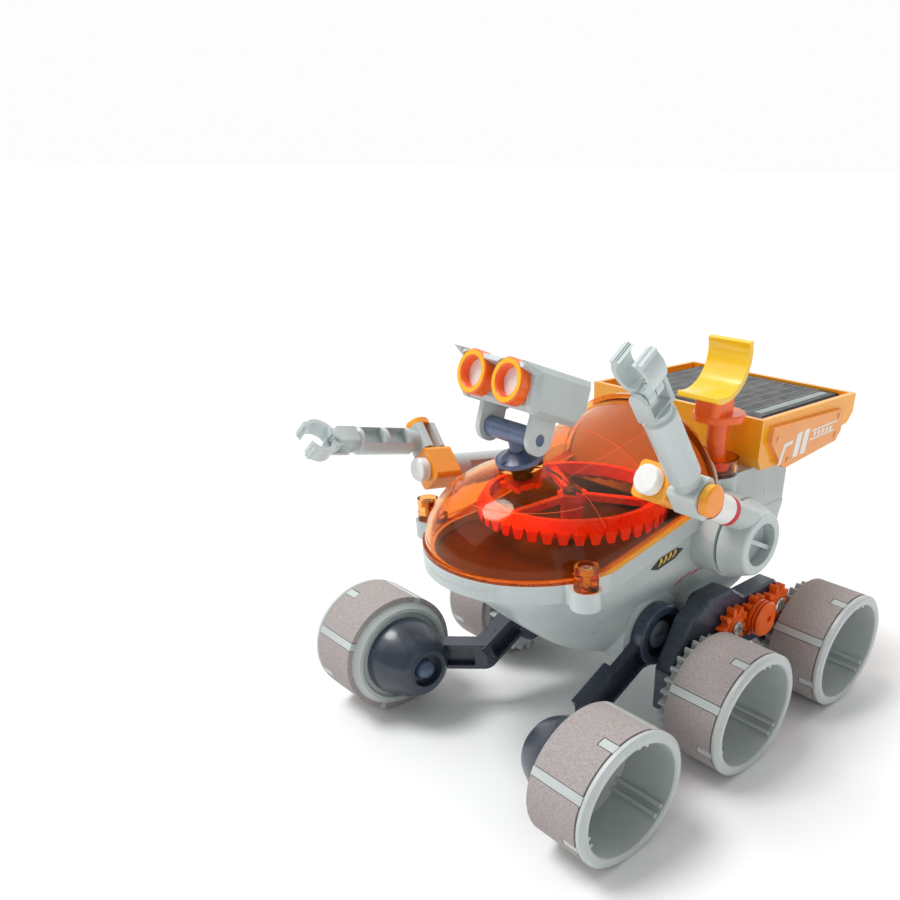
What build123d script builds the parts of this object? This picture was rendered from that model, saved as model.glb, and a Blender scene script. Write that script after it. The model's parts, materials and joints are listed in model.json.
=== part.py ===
from build123d import *
import os
from math import atan2, cos, degrees, pi, radians, sin, sqrt

# A six-wheeled solar rover toy. Millimetres, +Z up, ground at Z = 0.
# The rover faces -Y; its right-hand side, seen from behind the tray, is -X.
# "Right" in the names below means the +X side and "left" the -X side.

# ---------------------------------------------------------------- driving dimensions
WHEEL_R = 21.0                      # tread radius
AXLE_PITCH = 58.1                   # distance between neighbouring axles
FRONT_Y = -61.28                    # front axle, measured from the rover's origin
AXLE_Z = WHEEL_R
MID_Y = FRONT_Y + AXLE_PITCH
REAR_Y = MID_Y + AXLE_PITCH

WHEEL_IN = 45.0                     # inner edge of the tread
FLANGE_IN = 63.5                    # inner face of the outer flange
WHEEL_OUT = 66.0                    # outer face of the outer flange
DRUM_R = 19.2                       # drum under the foam
DRUM_BORE = 17.7
RIB_COUNT = 4
RIB_WIDTH = 2.6
AXLE_R = 1.5
RUN = 0.05                          # radial clearance of a running fit
GAP = 0.3                           # clearance between other moving faces

MODULE = 1.25                       # side gear train
WHEEL_TEETH = 28
PINION_TEETH = 10
GEAR_IN = 40.4                      # inner face of the gears
GEAR_OUT = 43.4
PRESSURE = 25.0                     # pressure angle, degrees
CENTRE_DIST = MODULE * (WHEEL_TEETH + PINION_TEETH) / 2
PINION_DIST = MODULE * PINION_TEETH
IDLER_DY = AXLE_PITCH / 2 - PINION_DIST
IDLER_DZ = sqrt(CENTRE_DIST ** 2 - IDLER_DY ** 2)
DRIVE_Y = MID_Y + AXLE_PITCH / 2
DRIVE_Z = AXLE_Z + IDLER_DZ

BOX_IN = 33.0                       # gear case, inner and outer face
BOX_OUT = 39.6

RIM_Z = AXLE_Z + 50.0               # hull rim at the front
RIM_RISE = 0.2035                   # slope of the rim behind the bow
BOW_Y = FRONT_Y + 24.0              # centre of the round bow
ARCH_Y = FRONT_Y + 70.6             # rear arch of the canopy
HULL_END = FRONT_Y + 112.0
HULL_R = 31.8                       # half width of the hull
BAND_R = 33.5                       # half width of the rim band
BAND_H = 5.5
DECK_Z = AXLE_Z + 65.0              # rear deck that carries the tray
WALL = 1.8

CANOPY_R = 32.8
CANOPY_H = 24.5
CANOPY_T = 1.5
BOSS_X = 35.4                       # canopy screw bosses
BOSS_Y = FRONT_Y + 11.0

PIVOT_Y = FRONT_Y + 53.7            # front arm pivot
PIVOT_Z = AXLE_Z + 16.4
CHEEK_X = 24.4                      # face of the pivot cheek on the hull
CHEEK_R = 13.8
ARM_IN = 22.0
ARM_OUT = 28.5
KNEE_Y = FRONT_Y + 22.0
KNEE_Z = AXLE_Z - 0.3
ARM_H = 9.6

SHOULDER_Y = FRONT_Y + 74.0
SHOULDER_Z = AXLE_Z + 48.6
SOCKET_OUT = 40.4
REACH_X = 45.0                      # plane of the upper arm tubes
TUBE_R = 4.2
TUBE_UP = 6.0                       # tube axis above the shoulder axis
ELBOW_REACH = 53.0                  # shoulder to elbow pin
FORE_X = 10.1                       # forearm axis beyond the upper arm tube
WRIST_REACH = 34.5                  # elbow pin to claw pivot
RIGHT_LIFT = 25.8                   # upper arm above horizontal, degrees
LEFT_LIFT = 8.0
RIGHT_BEND = 29.5                   # forearm above the upper arm
LEFT_BEND = 6.0
LEFT_ROLL = 45.0                    # elbow turned on the left tube

TRAY_X = 36.0
TRAY_FRONT = FRONT_Y + 87.0
TRAY_BACK = FRONT_Y + 144.0
PANEL_X = 31.0
PANEL_FRONT = FRONT_Y + 94.4
PANEL_BACK = FRONT_Y + 142.2
PANEL_Z = AXLE_Z + 77.8
PANEL_T = 2.5

DISH_X = 25.5
DISH_Y = FRONT_Y + 78.6
CUP_Z = DECK_Z
DISH_CY = FRONT_Y + 69.5             # axis of the curved reflector
DISH_CZ = AXLE_Z + 101.0
DISH_BEND = 10.6
DISH_T = 1.7

HEAD_Y = FRONT_Y + 17.1             # tilt axis of the head
HEAD_Z = AXLE_Z + 83.8
HEAD_PITCH = 20.0
NECK_LEAN = 12.0
FLANGE_Y = FRONT_Y + 19.3
FLANGE_Z = AXLE_Z + 75.6

CROWN_Y = FRONT_Y + 40.5
CROWN_Z = AXLE_Z + 55.5
CROWN_R = 29.6

pieces = {}


def keep(name, solid):
    """Register a finished piece under its name."""
    solid.label = name
    pieces[name] = solid


def mirrored(source):
    """The same moulding for the other side of the rover."""
    with BuildPart() as twin:
        mirror(source, about=Plane.YZ)
    return twin.part


def placed(source, *where):
    """Copies of a piece at the given locations, joined in one node."""
    with BuildPart() as copies:
        with Locations(*where):
            add(source)
    return copies.part


def side_plane(x, y=0.0, z=0.0):
    """Sketch plane whose first axis is +Y, second +Z and normal +X."""
    return Plane(origin=(x, y, z), x_dir=(0, 1, 0), z_dir=(1, 0, 0))


def involute(base_r, r):
    """Polar angle of the involute of a base circle at radius r, in radians."""
    if r <= base_r:
        return 0.0
    pressure = sqrt((r / base_r) ** 2 - 1)
    return pressure - atan2(sqrt(r * r - base_r * base_r), base_r)


def tooth_points(teeth, module, thin=0.88, addendum=0.85, dedendum=1.2):
    """Root-to-tip flank of one tooth: radius and half angle pairs."""
    pitch_r = module * teeth / 2
    base_r = pitch_r * cos(radians(PRESSURE))
    tip_r = pitch_r + addendum * module
    root_r = pitch_r - dedendum * module
    half = thin * pi / (2 * teeth) + involute(base_r, pitch_r)
    radii = [max(root_r, base_r), pitch_r, (pitch_r + tip_r) / 2, tip_r]
    flank = [(r, half - involute(base_r, r)) for r in radii]
    if base_r > root_r:
        flank.insert(0, (root_r, flank[0][1] * 0.78))
    return flank


def gear_sketch(teeth, module, phase, bore):
    """Face of a spur gear, one tooth centred on the phase angle in degrees."""
    flank = tooth_points(teeth, module)
    with BuildSketch() as face:
        Circle(flank[0][0] + 0.05)
        with BuildSketch(mode=Mode.PRIVATE) as tooth:
            with BuildLine():
                right = [(r * cos(-a), r * sin(-a)) for r, a in flank]
                left = [(r * cos(a), r * sin(a)) for r, a in reversed(flank)]
                inner = (flank[0][0] - 1.0, 0)
                Polyline(inner, *right, *left, close=True)
            make_face()
        with PolarLocations(0, teeth, start_angle=phase):
            add(tooth.sketch)
        if bore:
            Circle(bore, mode=Mode.SUBTRACT)
    return face.sketch


def mesh_phase(phase_a, teeth_a, direction, teeth_b):
    """Phase of gear b so that it meshes with gear a, seen along +X, in degrees."""
    return direction + 180 + (direction - phase_a) * teeth_a / teeth_b + 180 / teeth_b


# ---------------------------------------------------------------- gear train phases
toward_idler = degrees(atan2(IDLER_DZ, IDLER_DY))
MID_PHASE = toward_idler
FRONT_IDLER_PHASE = mesh_phase(MID_PHASE, WHEEL_TEETH, toward_idler, PINION_TEETH)
DRIVE_PHASE = mesh_phase(FRONT_IDLER_PHASE, PINION_TEETH, 0, PINION_TEETH)
REAR_IDLER_PHASE = mesh_phase(DRIVE_PHASE, PINION_TEETH, 0, PINION_TEETH)
REAR_PHASE = mesh_phase(REAR_IDLER_PHASE, PINION_TEETH, -toward_idler, WHEEL_TEETH)


# ---------------------------------------------------------------- wheels
def wheel(phase, geared):
    """Right-hand wheel about the X axis, with or without its drive gear."""
    lip_in = GEAR_IN if geared else WHEEL_IN - 2.0
    hub_in = GEAR_IN if geared else 43.8
    with BuildPart() as drum:
        with BuildSketch(Plane.XY):
            with BuildLine():
                Polyline(
                    (WHEEL_IN - 1.2, 3.6),
                    (WHEEL_IN - 1.2, 18.2),
                    (WHEEL_IN, DRUM_R),
                    (FLANGE_IN, DRUM_R),
                    (FLANGE_IN, WHEEL_R - 0.6),
                    (FLANGE_IN + 0.6, WHEEL_R),
                    (WHEEL_OUT - 0.9, WHEEL_R),
                    (WHEEL_OUT, WHEEL_R - 1.2),
                    (WHEEL_OUT, DRUM_BORE + 0.5),
                    (WHEEL_OUT - 0.5, DRUM_BORE),
                    (WHEEL_IN + 3.0, DRUM_BORE - 0.4),
                    (WHEEL_IN + 1.0, DRUM_BORE - 2.4),
                    (WHEEL_IN + 1.0, 3.6),
                    close=True,
                )
            make_face()
        revolve(axis=Axis.X)
        with BuildSketch(side_plane(hub_in)):
            Circle(4.4)
        extrude(amount=WHEEL_IN + 6.0 - hub_in)
        # full-width ribs between the foam segments, and short tabs between the ribs
        with BuildSketch(side_plane(WHEEL_IN)):
            with PolarLocations(DRUM_R + 0.7, RIB_COUNT, start_angle=RIB_START):
                Rectangle(2.2, RIB_WIDTH)
        extrude(amount=FLANGE_IN - WHEEL_IN + 0.2)
        with BuildSketch(side_plane(FLANGE_IN - 5.0)):
            with PolarLocations(DRUM_R + 0.6, RIB_COUNT, start_angle=RIB_START + 45):
                Rectangle(2.2, RIB_WIDTH)
        extrude(amount=5.2)
        # paired guide ribs inside the drum
        with BuildSketch(side_plane(WHEEL_IN + 2.0)):
            for start in (15, 135, 255):
                for step in (-5.5, 5.5):
                    with PolarLocations(DRUM_BORE - 0.5, 1, start_angle=RIB_START + start + step):
                        Rectangle(1.6, 1.3)
        extrude(amount=WHEEL_OUT - WHEEL_IN - 3.2)
        if geared:
            with BuildSketch(side_plane(GEAR_IN)):
                add(gear_sketch(WHEEL_TEETH, MODULE, phase, 0))
                Circle(13.2, mode=Mode.SUBTRACT)
            extrude(amount=WHEEL_IN - 1.0 - GEAR_IN)
        else:
            with BuildSketch(Plane.XY):
                with BuildLine():
                    Polyline(
                        (WHEEL_IN - 1.0, 15.6),
                        (lip_in + 0.6, 15.6),
                        (lip_in, 16.2),
                        (lip_in, 17.4),
                        (lip_in + 0.8, 18.2),
                        (WHEEL_IN - 1.0, 18.2),
                        close=True,
                    )
                make_face()
            revolve(axis=Axis.X)
        with BuildSketch(side_plane(30)):
            Circle(AXLE_R + RUN)
        extrude(amount=40, mode=Mode.SUBTRACT)
    return drum.part


def tread():
    """Four foam segments of one wheel, notched round the short tabs."""
    half_gap = degrees((RIB_WIDTH / 2 + 0.25) / WHEEL_R)
    with BuildPart() as foam:
        with BuildSketch(side_plane(WHEEL_IN + 0.1)):
            Circle(WHEEL_R)
            Circle(DRUM_R + 0.02, mode=Mode.SUBTRACT)
            with PolarLocations(DRUM_R + 0.8, RIB_COUNT, start_angle=RIB_START):
                Rectangle(4.4, 2 * WHEEL_R * sin(radians(half_gap)), mode=Mode.SUBTRACT)
        extrude(amount=FLANGE_IN - WHEEL_IN - 0.3)
        with BuildSketch(side_plane(FLANGE_IN - 5.3)):
            with PolarLocations(DRUM_R + 0.8, RIB_COUNT, start_angle=RIB_START + 45):
                Rectangle(4.4, RIB_WIDTH + 0.5)
        extrude(amount=6, mode=Mode.SUBTRACT)
    return foam.part


RIB_START = 62.0
SIDES = {"right": 1, "left": -1}
ROWS = {"front": FRONT_Y, "middle": MID_Y, "rear": REAR_Y}
PHASES = {"front": 0.0, "middle": MID_PHASE, "rear": REAR_PHASE}

foam_master = tread()
for row, row_y in ROWS.items():
    drum_master = wheel(PHASES[row], row != "front")
    for side, sign in SIDES.items():
        drum_right = placed(drum_master, (0, row_y, AXLE_Z))
        foam_right = placed(foam_master, (0, row_y, AXLE_Z))
        keep(f"wheel_{row}_{side}", drum_right if sign > 0 else mirrored(drum_right))
        keep(f"tread_{row}_{side}", foam_right if sign > 0 else mirrored(foam_right))


# ---------------------------------------------------------------- side gear train
def idler(y, phase):
    """Right-hand idler gear at height DRIVE_Z."""
    with BuildPart() as gear:
        with BuildSketch(side_plane(GEAR_IN, y, DRIVE_Z)):
            add(gear_sketch(PINION_TEETH, MODULE, phase, AXLE_R + RUN))
        extrude(amount=GEAR_OUT - GEAR_IN)
        with BuildSketch(side_plane(GEAR_OUT - 0.2, y, DRIVE_Z)):
            Circle(3.6)
            Circle(AXLE_R + RUN, mode=Mode.SUBTRACT)
        extrude(amount=0.7)
    return gear.part


IDLERS = {
    "front": (MID_Y + IDLER_DY, FRONT_IDLER_PHASE),
    "rear": (REAR_Y - IDLER_DY, REAR_IDLER_PHASE),
}
for row, (idler_y, idler_phase) in IDLERS.items():
    idler_right = idler(idler_y, idler_phase)
    keep(f"idler_gear_{row}_right", idler_right)
    keep(f"idler_gear_{row}_left", mirrored(idler_right))

# centre gear with its grooved cap, pressed on the drive shaft
with BuildPart() as centre_gear:
    with BuildSketch(side_plane(GEAR_IN, DRIVE_Y, DRIVE_Z)):
        add(gear_sketch(PINION_TEETH, MODULE, DRIVE_PHASE, AXLE_R))
    extrude(amount=GEAR_OUT - GEAR_IN)
    with BuildSketch(side_plane(GEAR_OUT - 0.1, DRIVE_Y, DRIVE_Z)):
        Circle(4.6)
        Circle(AXLE_R, mode=Mode.SUBTRACT)
    extrude(amount=0.7)
    with BuildSketch(side_plane(GEAR_OUT + 0.5, DRIVE_Y, DRIVE_Z)):
        Circle(6.2)
        with Locations((7.4, 0)):
            Rectangle(5, 14, mode=Mode.SUBTRACT)
    extrude(amount=4.0)
    chamfer(centre_gear.faces().sort_by(Axis.X)[-1].edges(), length=0.7)
    for groove_x in (GEAR_OUT + 1.5, GEAR_OUT + 2.9):
        with BuildSketch(side_plane(groove_x, DRIVE_Y, DRIVE_Z)):
            Circle(7)
            Circle(5.2, mode=Mode.SUBTRACT)
        extrude(amount=0.7, mode=Mode.SUBTRACT)
    with BuildSketch(side_plane(GEAR_OUT, DRIVE_Y, DRIVE_Z)):
        Circle(AXLE_R)
    extrude(amount=2.2, mode=Mode.SUBTRACT)
    with BuildSketch(side_plane(GEAR_OUT + 3.2, DRIVE_Y, DRIVE_Z)):
        with Locations((0.8, 0)):
            Circle(1.3)
    extrude(amount=2, mode=Mode.SUBTRACT)
keep("centre_gear_right", centre_gear.part)
keep("centre_gear_left", mirrored(centre_gear.part))

SHAFT_END = GEAR_OUT + 2.0
with BuildPart() as drive_shaft:
    with BuildSketch(side_plane(-SHAFT_END, DRIVE_Y, DRIVE_Z)):
        Circle(AXLE_R)
    extrude(amount=2 * SHAFT_END)
keep("drive_shaft", drive_shaft.part)


def headed_pin(start, end, y, z, head_r, head_t, core_r=AXLE_R):
    """Steel pin along X with a flat head at its outer end."""
    with BuildPart() as pin:
        with BuildSketch(side_plane(start, y, z)):
            Circle(core_r)
        extrude(amount=end - start)
        with BuildSketch(side_plane(end, y, z)):
            Circle(head_r)
        extrude(amount=head_t)
        chamfer(pin.faces().sort_by(Axis.X)[-1].edges(), length=0.35)
        with BuildSketch(side_plane(end + head_t, y, z)):
            Rectangle(2.6, 0.6)
            Rectangle(0.6, 2.6)
        extrude(amount=-0.5, mode=Mode.SUBTRACT)
    return pin.part


with BuildPart() as idler_pins:
    for idler_y, idler_phase in IDLERS.values():
        pin_right = headed_pin(BOX_IN + 2, GEAR_OUT + 0.7, idler_y, DRIVE_Z, 2.6, 0.9)
        add(pin_right)
        mirror(pin_right, about=Plane.YZ)
keep("idler_pins", idler_pins.part)

HUB_END = WHEEL_IN + 6.0
with BuildPart() as bogie_axles:
    for row_y in (MID_Y, REAR_Y):
        axle_right = headed_pin(BOX_IN + 2, HUB_END + GAP, row_y, AXLE_Z, 3.2, 1.6)
        add(axle_right)
        mirror(axle_right, about=Plane.YZ)
keep("bogie_axles", bogie_axles.part)

# gear case: a rocker-shaped housing that carries both driven wheels of one side
with BuildPart() as gear_case:
    with BuildSketch(side_plane(BOX_IN, MID_Y, AXLE_Z)) as case_outline:
        with BuildLine():
            Polyline(
                (-11.5, -7.0),
                (-11.5, 9.0),
                (-3.0, 24.5),
                (5.0, 29.0),
                (19.0, 29.0),
                (25.5, 24.4),
                (44.5, 24.4),
                (53.0, 17.0),
                (68.5, 6.5),
                (68.5, -7.0),
                (63.5, -10.0),
                (50.0, -8.0),
                (38.0, 3.0),
                (20.0, 3.0),
                (8.0, -8.0),
                (-6.5, -10.0),
                close=True,
            )
        make_face()
        fillet(case_outline.vertices(), radius=3.0)
    extrude(amount=BOX_OUT - BOX_IN)
    outer_face = gear_case.faces().sort_by(Axis.X)[-1]
    chamfer(outer_face.edges(), length=0.8)
    # thick rib behind the front idler, reaching in to the hull pad
    with BuildSketch(side_plane(BOX_IN - 4.2, MID_Y, AXLE_Z)):
        with Locations((16.5, 18.0)):
            RectangleRounded(18.6, 18.0, 5.0)
    extrude(amount=4.4)
    # raised collars round the wheel axles and the drive shaft
    with BuildSketch(side_plane(BOX_OUT - 0.2)):
        with Locations((MID_Y, AXLE_Z), (REAR_Y, AXLE_Z)):
            Circle(4.0)
    extrude(amount=0.7)
    with BuildSketch(side_plane(BOX_IN - 5)):
        with Locations((MID_Y, AXLE_Z), (REAR_Y, AXLE_Z)):
            Circle(AXLE_R)
        with Locations((MID_Y + IDLER_DY, DRIVE_Z), (REAR_Y - IDLER_DY, DRIVE_Z)):
            Circle(AXLE_R)
        with Locations((DRIVE_Y, DRIVE_Z)):
            Circle(AXLE_R + RUN)
    extrude(amount=20, mode=Mode.SUBTRACT)
keep("gear_case_right", gear_case.part)
keep("gear_case_left", mirrored(gear_case.part))


# ---------------------------------------------------------------- hull
def bow_plan(radius, back_y):
    """U-shaped plan: a half circle at the bow and straight sides."""
    with BuildSketch() as plan:
        with Locations((0, BOW_Y)):
            Circle(radius)
        with Locations((0, (BOW_Y + back_y) / 2)):
            Rectangle(2 * radius, back_y - BOW_Y)
    return plan.sketch


def rim_at(y):
    """Height of the hull rim above the ground."""
    return RIM_Z + max(0.0, y - BOW_Y) * RIM_RISE


def rim_strip(plan, low, high):
    """The upright form over a plan, cut parallel to the rim at two heights from it."""
    with BuildPart() as strip:
        with BuildSketch():
            add(plan)
        extrude(amount=150)
        with BuildSketch(side_plane(0)):
            with BuildLine():
                Polyline(
                    (FRONT_Y - 20, RIM_Z + high),
                    (BOW_Y, RIM_Z + high),
                    (ARCH_Y, rim_at(ARCH_Y) + high),
                    (ARCH_Y, rim_at(ARCH_Y) + low),
                    (BOW_Y, RIM_Z + low),
                    (FRONT_Y - 20, RIM_Z + low),
                    close=True,
                )
            make_face()
        extrude(amount=60, both=True, mode=Mode.INTERSECT)
    return strip.part


def hull_level(z, half_width, stem, stern, inset):
    """Plan of the hull at one height: round stem, straight sides and flat transom."""
    w = half_width - inset
    y0 = FRONT_Y + stem + inset
    y1 = FRONT_Y + stern - inset
    with BuildSketch(Plane.XY.offset(AXLE_Z + z)) as level:
        with BuildLine():
            ThreePointArc((w, y0 + w), (0, y0), (-w, y0 + w))
            Line((-w, y0 + w), (-w, y1))
            Line((-w, y1), (w, y1))
            Line((w, y1), (w, y0 + w))
        make_face()
    return level.sketch


# height above the axles, half width, stem and transom, from the belly to the rim
HULL_LEVELS = (
    (6.5, 14.0, 41.0, 96.0),
    (9.0, 18.6, 35.0, 99.0),
    (15.0, 21.2, 26.0, 104.5),
    (22.0, 23.6, 18.0, 108.0),
    (28.0, 24.3, 11.5, 110.5),
    (31.5, 26.2, 8.0, 111.5),
    (35.5, 29.2, 3.6, 112.0),
    (40.0, 31.0, -2.6, 112.0),
    (50.0, HULL_R, -7.8, 112.0),
)


def hull_form(inset, open_top):
    """Outer or inner form of the hull: a boat-like lower body under a vertical side."""
    top = 6.0 if open_top else 0.0
    cover = WALL if open_top else 0.0
    loft_levels = []
    for i, (z, half_width, stem, stern) in enumerate(HULL_LEVELS):
        floor = inset if i == 0 else 0.0
        loft_levels.append(hull_level(z + floor, half_width, stem, stern, inset))
    with BuildPart() as form:
        add(Solid.make_loft([level.face().outer_wire() for level in loft_levels]))
        with BuildSketch(Plane.XY.offset(RIM_Z)):
            add(bow_plan(HULL_R - inset, HULL_END - inset))
        extrude(amount=30)
        with BuildSketch(side_plane(0, FRONT_Y, AXLE_Z)):
            with BuildLine():
                Polyline(
                    (-30, 50 + top),
                    (24, 50 + top),
                    (70.6 - cover, 59.5 + top),
                    (70.6 - cover, 65 - cover),
                    (130, 65 - cover),
                    (130, 120),
                    (-30, 120),
                    close=True,
                )
            make_face()
        extrude(amount=60, both=True, mode=Mode.SUBTRACT)
    return form.part


hull_outer = hull_form(0.0, False)
hull_inner = hull_form(WALL, True)

with BuildSketch() as band_plan:
    add(bow_plan(BAND_R, ARCH_Y))
    for tab_x in (BOSS_X, -BOSS_X):
        with Locations((tab_x, BOSS_Y)):
            Circle(4.4)
        with Locations((tab_x * 0.85, BOSS_Y + 1.5)):
            Rectangle(9, 8)
rim_band = rim_strip(band_plan.sketch, -BAND_H, 0.0)

with BuildPart() as hull:
    add(hull_outer)
    add(rim_band)
    # shoulder sockets
    for sign in (1, -1):
        with BuildSketch(side_plane(sign * 24, SHOULDER_Y, SHOULDER_Z)):
            Circle(12.9)
        extrude(amount=sign * (SOCKET_OUT - 24))
    # boss under the dish, and pads for the gear cases
    with BuildSketch(Plane.XY.offset(AXLE_Z + 42)):
        with Locations((DISH_X, DISH_Y)):
            Circle(7.6)
    extrude(amount=CUP_Z - AXLE_Z - 42)
    for sign in (1, -1):
        with BuildSketch(side_plane(sign * 18, MID_Y, AXLE_Z)):
            with Locations((16.5, 18.0)):
                RectangleRounded(16.0, 15.0, 4.0)
        extrude(amount=sign * (BOX_IN - 4.2 - 18))
        with BuildSketch(side_plane(sign * 14, PIVOT_Y, PIVOT_Z)):
            Circle(CHEEK_R)
        extrude(amount=sign * (CHEEK_X - 14))
    add(hull_inner, mode=Mode.SUBTRACT)
    # bulkhead behind the canopy arch
    with BuildSketch(Plane.XZ.offset(-ARCH_Y)):
        with Locations((0, rim_at(ARCH_Y))):
            Ellipse(CANOPY_R, CANOPY_H)
        with Locations((0, rim_at(ARCH_Y) - 20)):
            Rectangle(100, 40, mode=Mode.SUBTRACT)
        with Locations((0, rim_at(ARCH_Y) - 4)):
            Rectangle(2 * HULL_R - 1, 10)
    extrude(amount=-WALL)
    # pylon that carries the tray
    with BuildSketch(Plane.XY.offset(DECK_Z - 0.5)):
        with Locations((0, FRONT_Y + 101)):
            RectangleRounded(26, 16, 3)
    extrude(amount=PANEL_Z - 1.6 - DECK_Z + 0.5)
    # seats of the canopy rim and of the cup under the dish
    with BuildSketch(side_plane(0)):
        with BuildLine():
            Polyline(
                (FRONT_Y - 20, RIM_Z),
                (BOW_Y, RIM_Z),
                (ARCH_Y, rim_at(ARCH_Y)),
                (ARCH_Y, DECK_Z + 40),
                (FRONT_Y - 20, DECK_Z + 40),
                close=True,
            )
        make_face()
    extrude(amount=BAND_R, both=True, mode=Mode.SUBTRACT)
    with BuildSketch(Plane.XY.offset(CUP_Z)):
        with Locations((DISH_X, DISH_Y)):
            Circle(7.7)
    extrude(amount=20, mode=Mode.SUBTRACT)
    # bores for the shoulders, the pivot screws, the drive shaft and the dish post
    with BuildSketch(side_plane(-60)):
        with Locations((SHOULDER_Y, SHOULDER_Z)):
            Circle(5.0 + RUN)
        with Locations((PIVOT_Y, PIVOT_Z)):
            Circle(1.6)
        with Locations((DRIVE_Y, DRIVE_Z)):
            Circle(AXLE_R + RUN)
    extrude(amount=120, mode=Mode.SUBTRACT)
    with BuildSketch(Plane.XY.offset(AXLE_Z + 52)):
        with Locations((DISH_X, DISH_Y)):
            Circle(3.3 + RUN)
    extrude(amount=20, mode=Mode.SUBTRACT)
    # screw holes under the canopy bosses
    with BuildSketch(Plane.XY.offset(RIM_Z - BAND_H - 1)):
        with Locations((BOSS_X, BOSS_Y), (-BOSS_X, BOSS_Y)):
            Circle(1.0)
    extrude(amount=BAND_H + 2, mode=Mode.SUBTRACT)
keep("hull", hull.part)


# ---------------------------------------------------------------- canopy
def dome(radius, height, back_y):
    """Round bow and rising barrel vault above the rim."""
    with BuildPart() as form:
        with BuildSketch(Plane.XZ.offset(-BOW_Y)):
            with Locations((0, RIM_Z)):
                Ellipse(radius, height)
                Rectangle(400, 200, align=(Align.CENTER, Align.MAX), mode=Mode.SUBTRACT)
                Rectangle(200, 200, align=(Align.MAX, Align.CENTER), mode=Mode.SUBTRACT)
        revolve(axis=Axis((0, BOW_Y, 0), (0, 0, 1)), revolution_arc=-180)
        with BuildSketch(Plane.XZ.offset(-BOW_Y)):
            with Locations((0, RIM_Z)):
                Ellipse(radius, height)
            with Locations((0, RIM_Z - 50)):
                Rectangle(200, 100, mode=Mode.SUBTRACT)
        extrude(amount=(back_y - BOW_Y) * sqrt(1 + RIM_RISE ** 2), dir=(0, 1, RIM_RISE))
        with BuildSketch(Plane.XZ.offset(-back_y)):
            Rectangle(200, 400)
        extrude(amount=-60, mode=Mode.SUBTRACT)
    return form.part


dome_outer = dome(CANOPY_R, CANOPY_H, ARCH_Y)
dome_inner = dome(CANOPY_R - CANOPY_T, CANOPY_H - CANOPY_T, ARCH_Y + 1)
neck_plane = Plane(
    origin=(0, FLANGE_Y, FLANGE_Z),
    x_dir=(1, 0, 0),
    z_dir=(0, -sin(radians(NECK_LEAN)), cos(radians(NECK_LEAN))),
)

canopy_flange = rim_strip(bow_plan(BAND_R - 0.1, ARCH_Y), 0.0, CANOPY_T)

with BuildPart() as canopy:
    add(dome_outer)
    add(canopy_flange)
    # screw bosses
    with BuildSketch(Plane.XY.offset(RIM_Z)):
        with Locations((BOSS_X, BOSS_Y), (-BOSS_X, BOSS_Y)):
            Circle(3.5)
        for tab_x in (BOSS_X, -BOSS_X):
            with Locations((tab_x * 0.9, BOSS_Y + 1.5)):
                Rectangle(6, 4)
    extrude(amount=3.0)
    with BuildSketch(Plane.XY.offset(RIM_Z)):
        with Locations((BOSS_X, BOSS_Y), (-BOSS_X, BOSS_Y)):
            Circle(3.3)
    extrude(amount=7.0)
    # raised bead round the rear arch
    with BuildSketch(Plane.XZ.offset(-ARCH_Y)):
        with Locations((0, rim_at(ARCH_Y))):
            Ellipse(CANOPY_R + 0.7, CANOPY_H + 1.6)
        with Locations((0, rim_at(ARCH_Y) - 50)):
            Rectangle(200, 100, mode=Mode.SUBTRACT)
    extrude(amount=2.2)
    # collar under the neck flange
    with BuildSketch(neck_plane.offset(-4.0)):
        Circle(6.6)
    extrude(amount=4.0 - GAP)
    add(dome_inner, mode=Mode.SUBTRACT)
    with BuildSketch(neck_plane.offset(-20)):
        Circle(3.0 + RUN)
    extrude(amount=30, mode=Mode.SUBTRACT)
    with BuildSketch(Plane.XY.offset(RIM_Z - 1)):
        with Locations((BOSS_X, BOSS_Y), (-BOSS_X, BOSS_Y)):
            Circle(1.3)
    extrude(amount=12, mode=Mode.SUBTRACT)
    with BuildSketch(Plane.XY.offset(RIM_Z + 4.6)):
        with Locations((BOSS_X, BOSS_Y), (-BOSS_X, BOSS_Y)):
            Circle(2.3)
    extrude(amount=6, mode=Mode.SUBTRACT)
keep("canopy", canopy.part)

# clear cup that rings the dish post
with BuildPart() as dish_cup:
    with BuildSketch(Plane.XY.offset(CUP_Z)):
        with Locations((DISH_X, DISH_Y)):
            Circle(7.6)
            Circle(6.5, mode=Mode.SUBTRACT)
    extrude(amount=5.0)
    with BuildSketch(Plane.XY.offset(CUP_Z)):
        with Locations((DISH_X, DISH_Y)):
            Circle(7.0)
            Circle(3.6, mode=Mode.SUBTRACT)
    extrude(amount=1.0)
keep("dish_cup", dish_cup.part)

with BuildPart() as canopy_screws:
    with BuildSketch(Plane.XY.offset(RIM_Z - 4.5)):
        with Locations((BOSS_X, BOSS_Y), (-BOSS_X, BOSS_Y)):
            Circle(1.0)
    extrude(amount=9.1)
    with BuildSketch(Plane.XY.offset(RIM_Z + 4.6)):
        with Locations((BOSS_X, BOSS_Y), (-BOSS_X, BOSS_Y)):
            Circle(2.1)
    extrude(amount=1.4)
    with BuildSketch(Plane.XY.offset(RIM_Z + 6.0)):
        with Locations((BOSS_X, BOSS_Y), (-BOSS_X, BOSS_Y)):
            Rectangle(2.4, 0.6)
            Rectangle(0.6, 2.4)
    extrude(amount=-0.7, mode=Mode.SUBTRACT)
keep("canopy_screws", canopy_screws.part)

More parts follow.
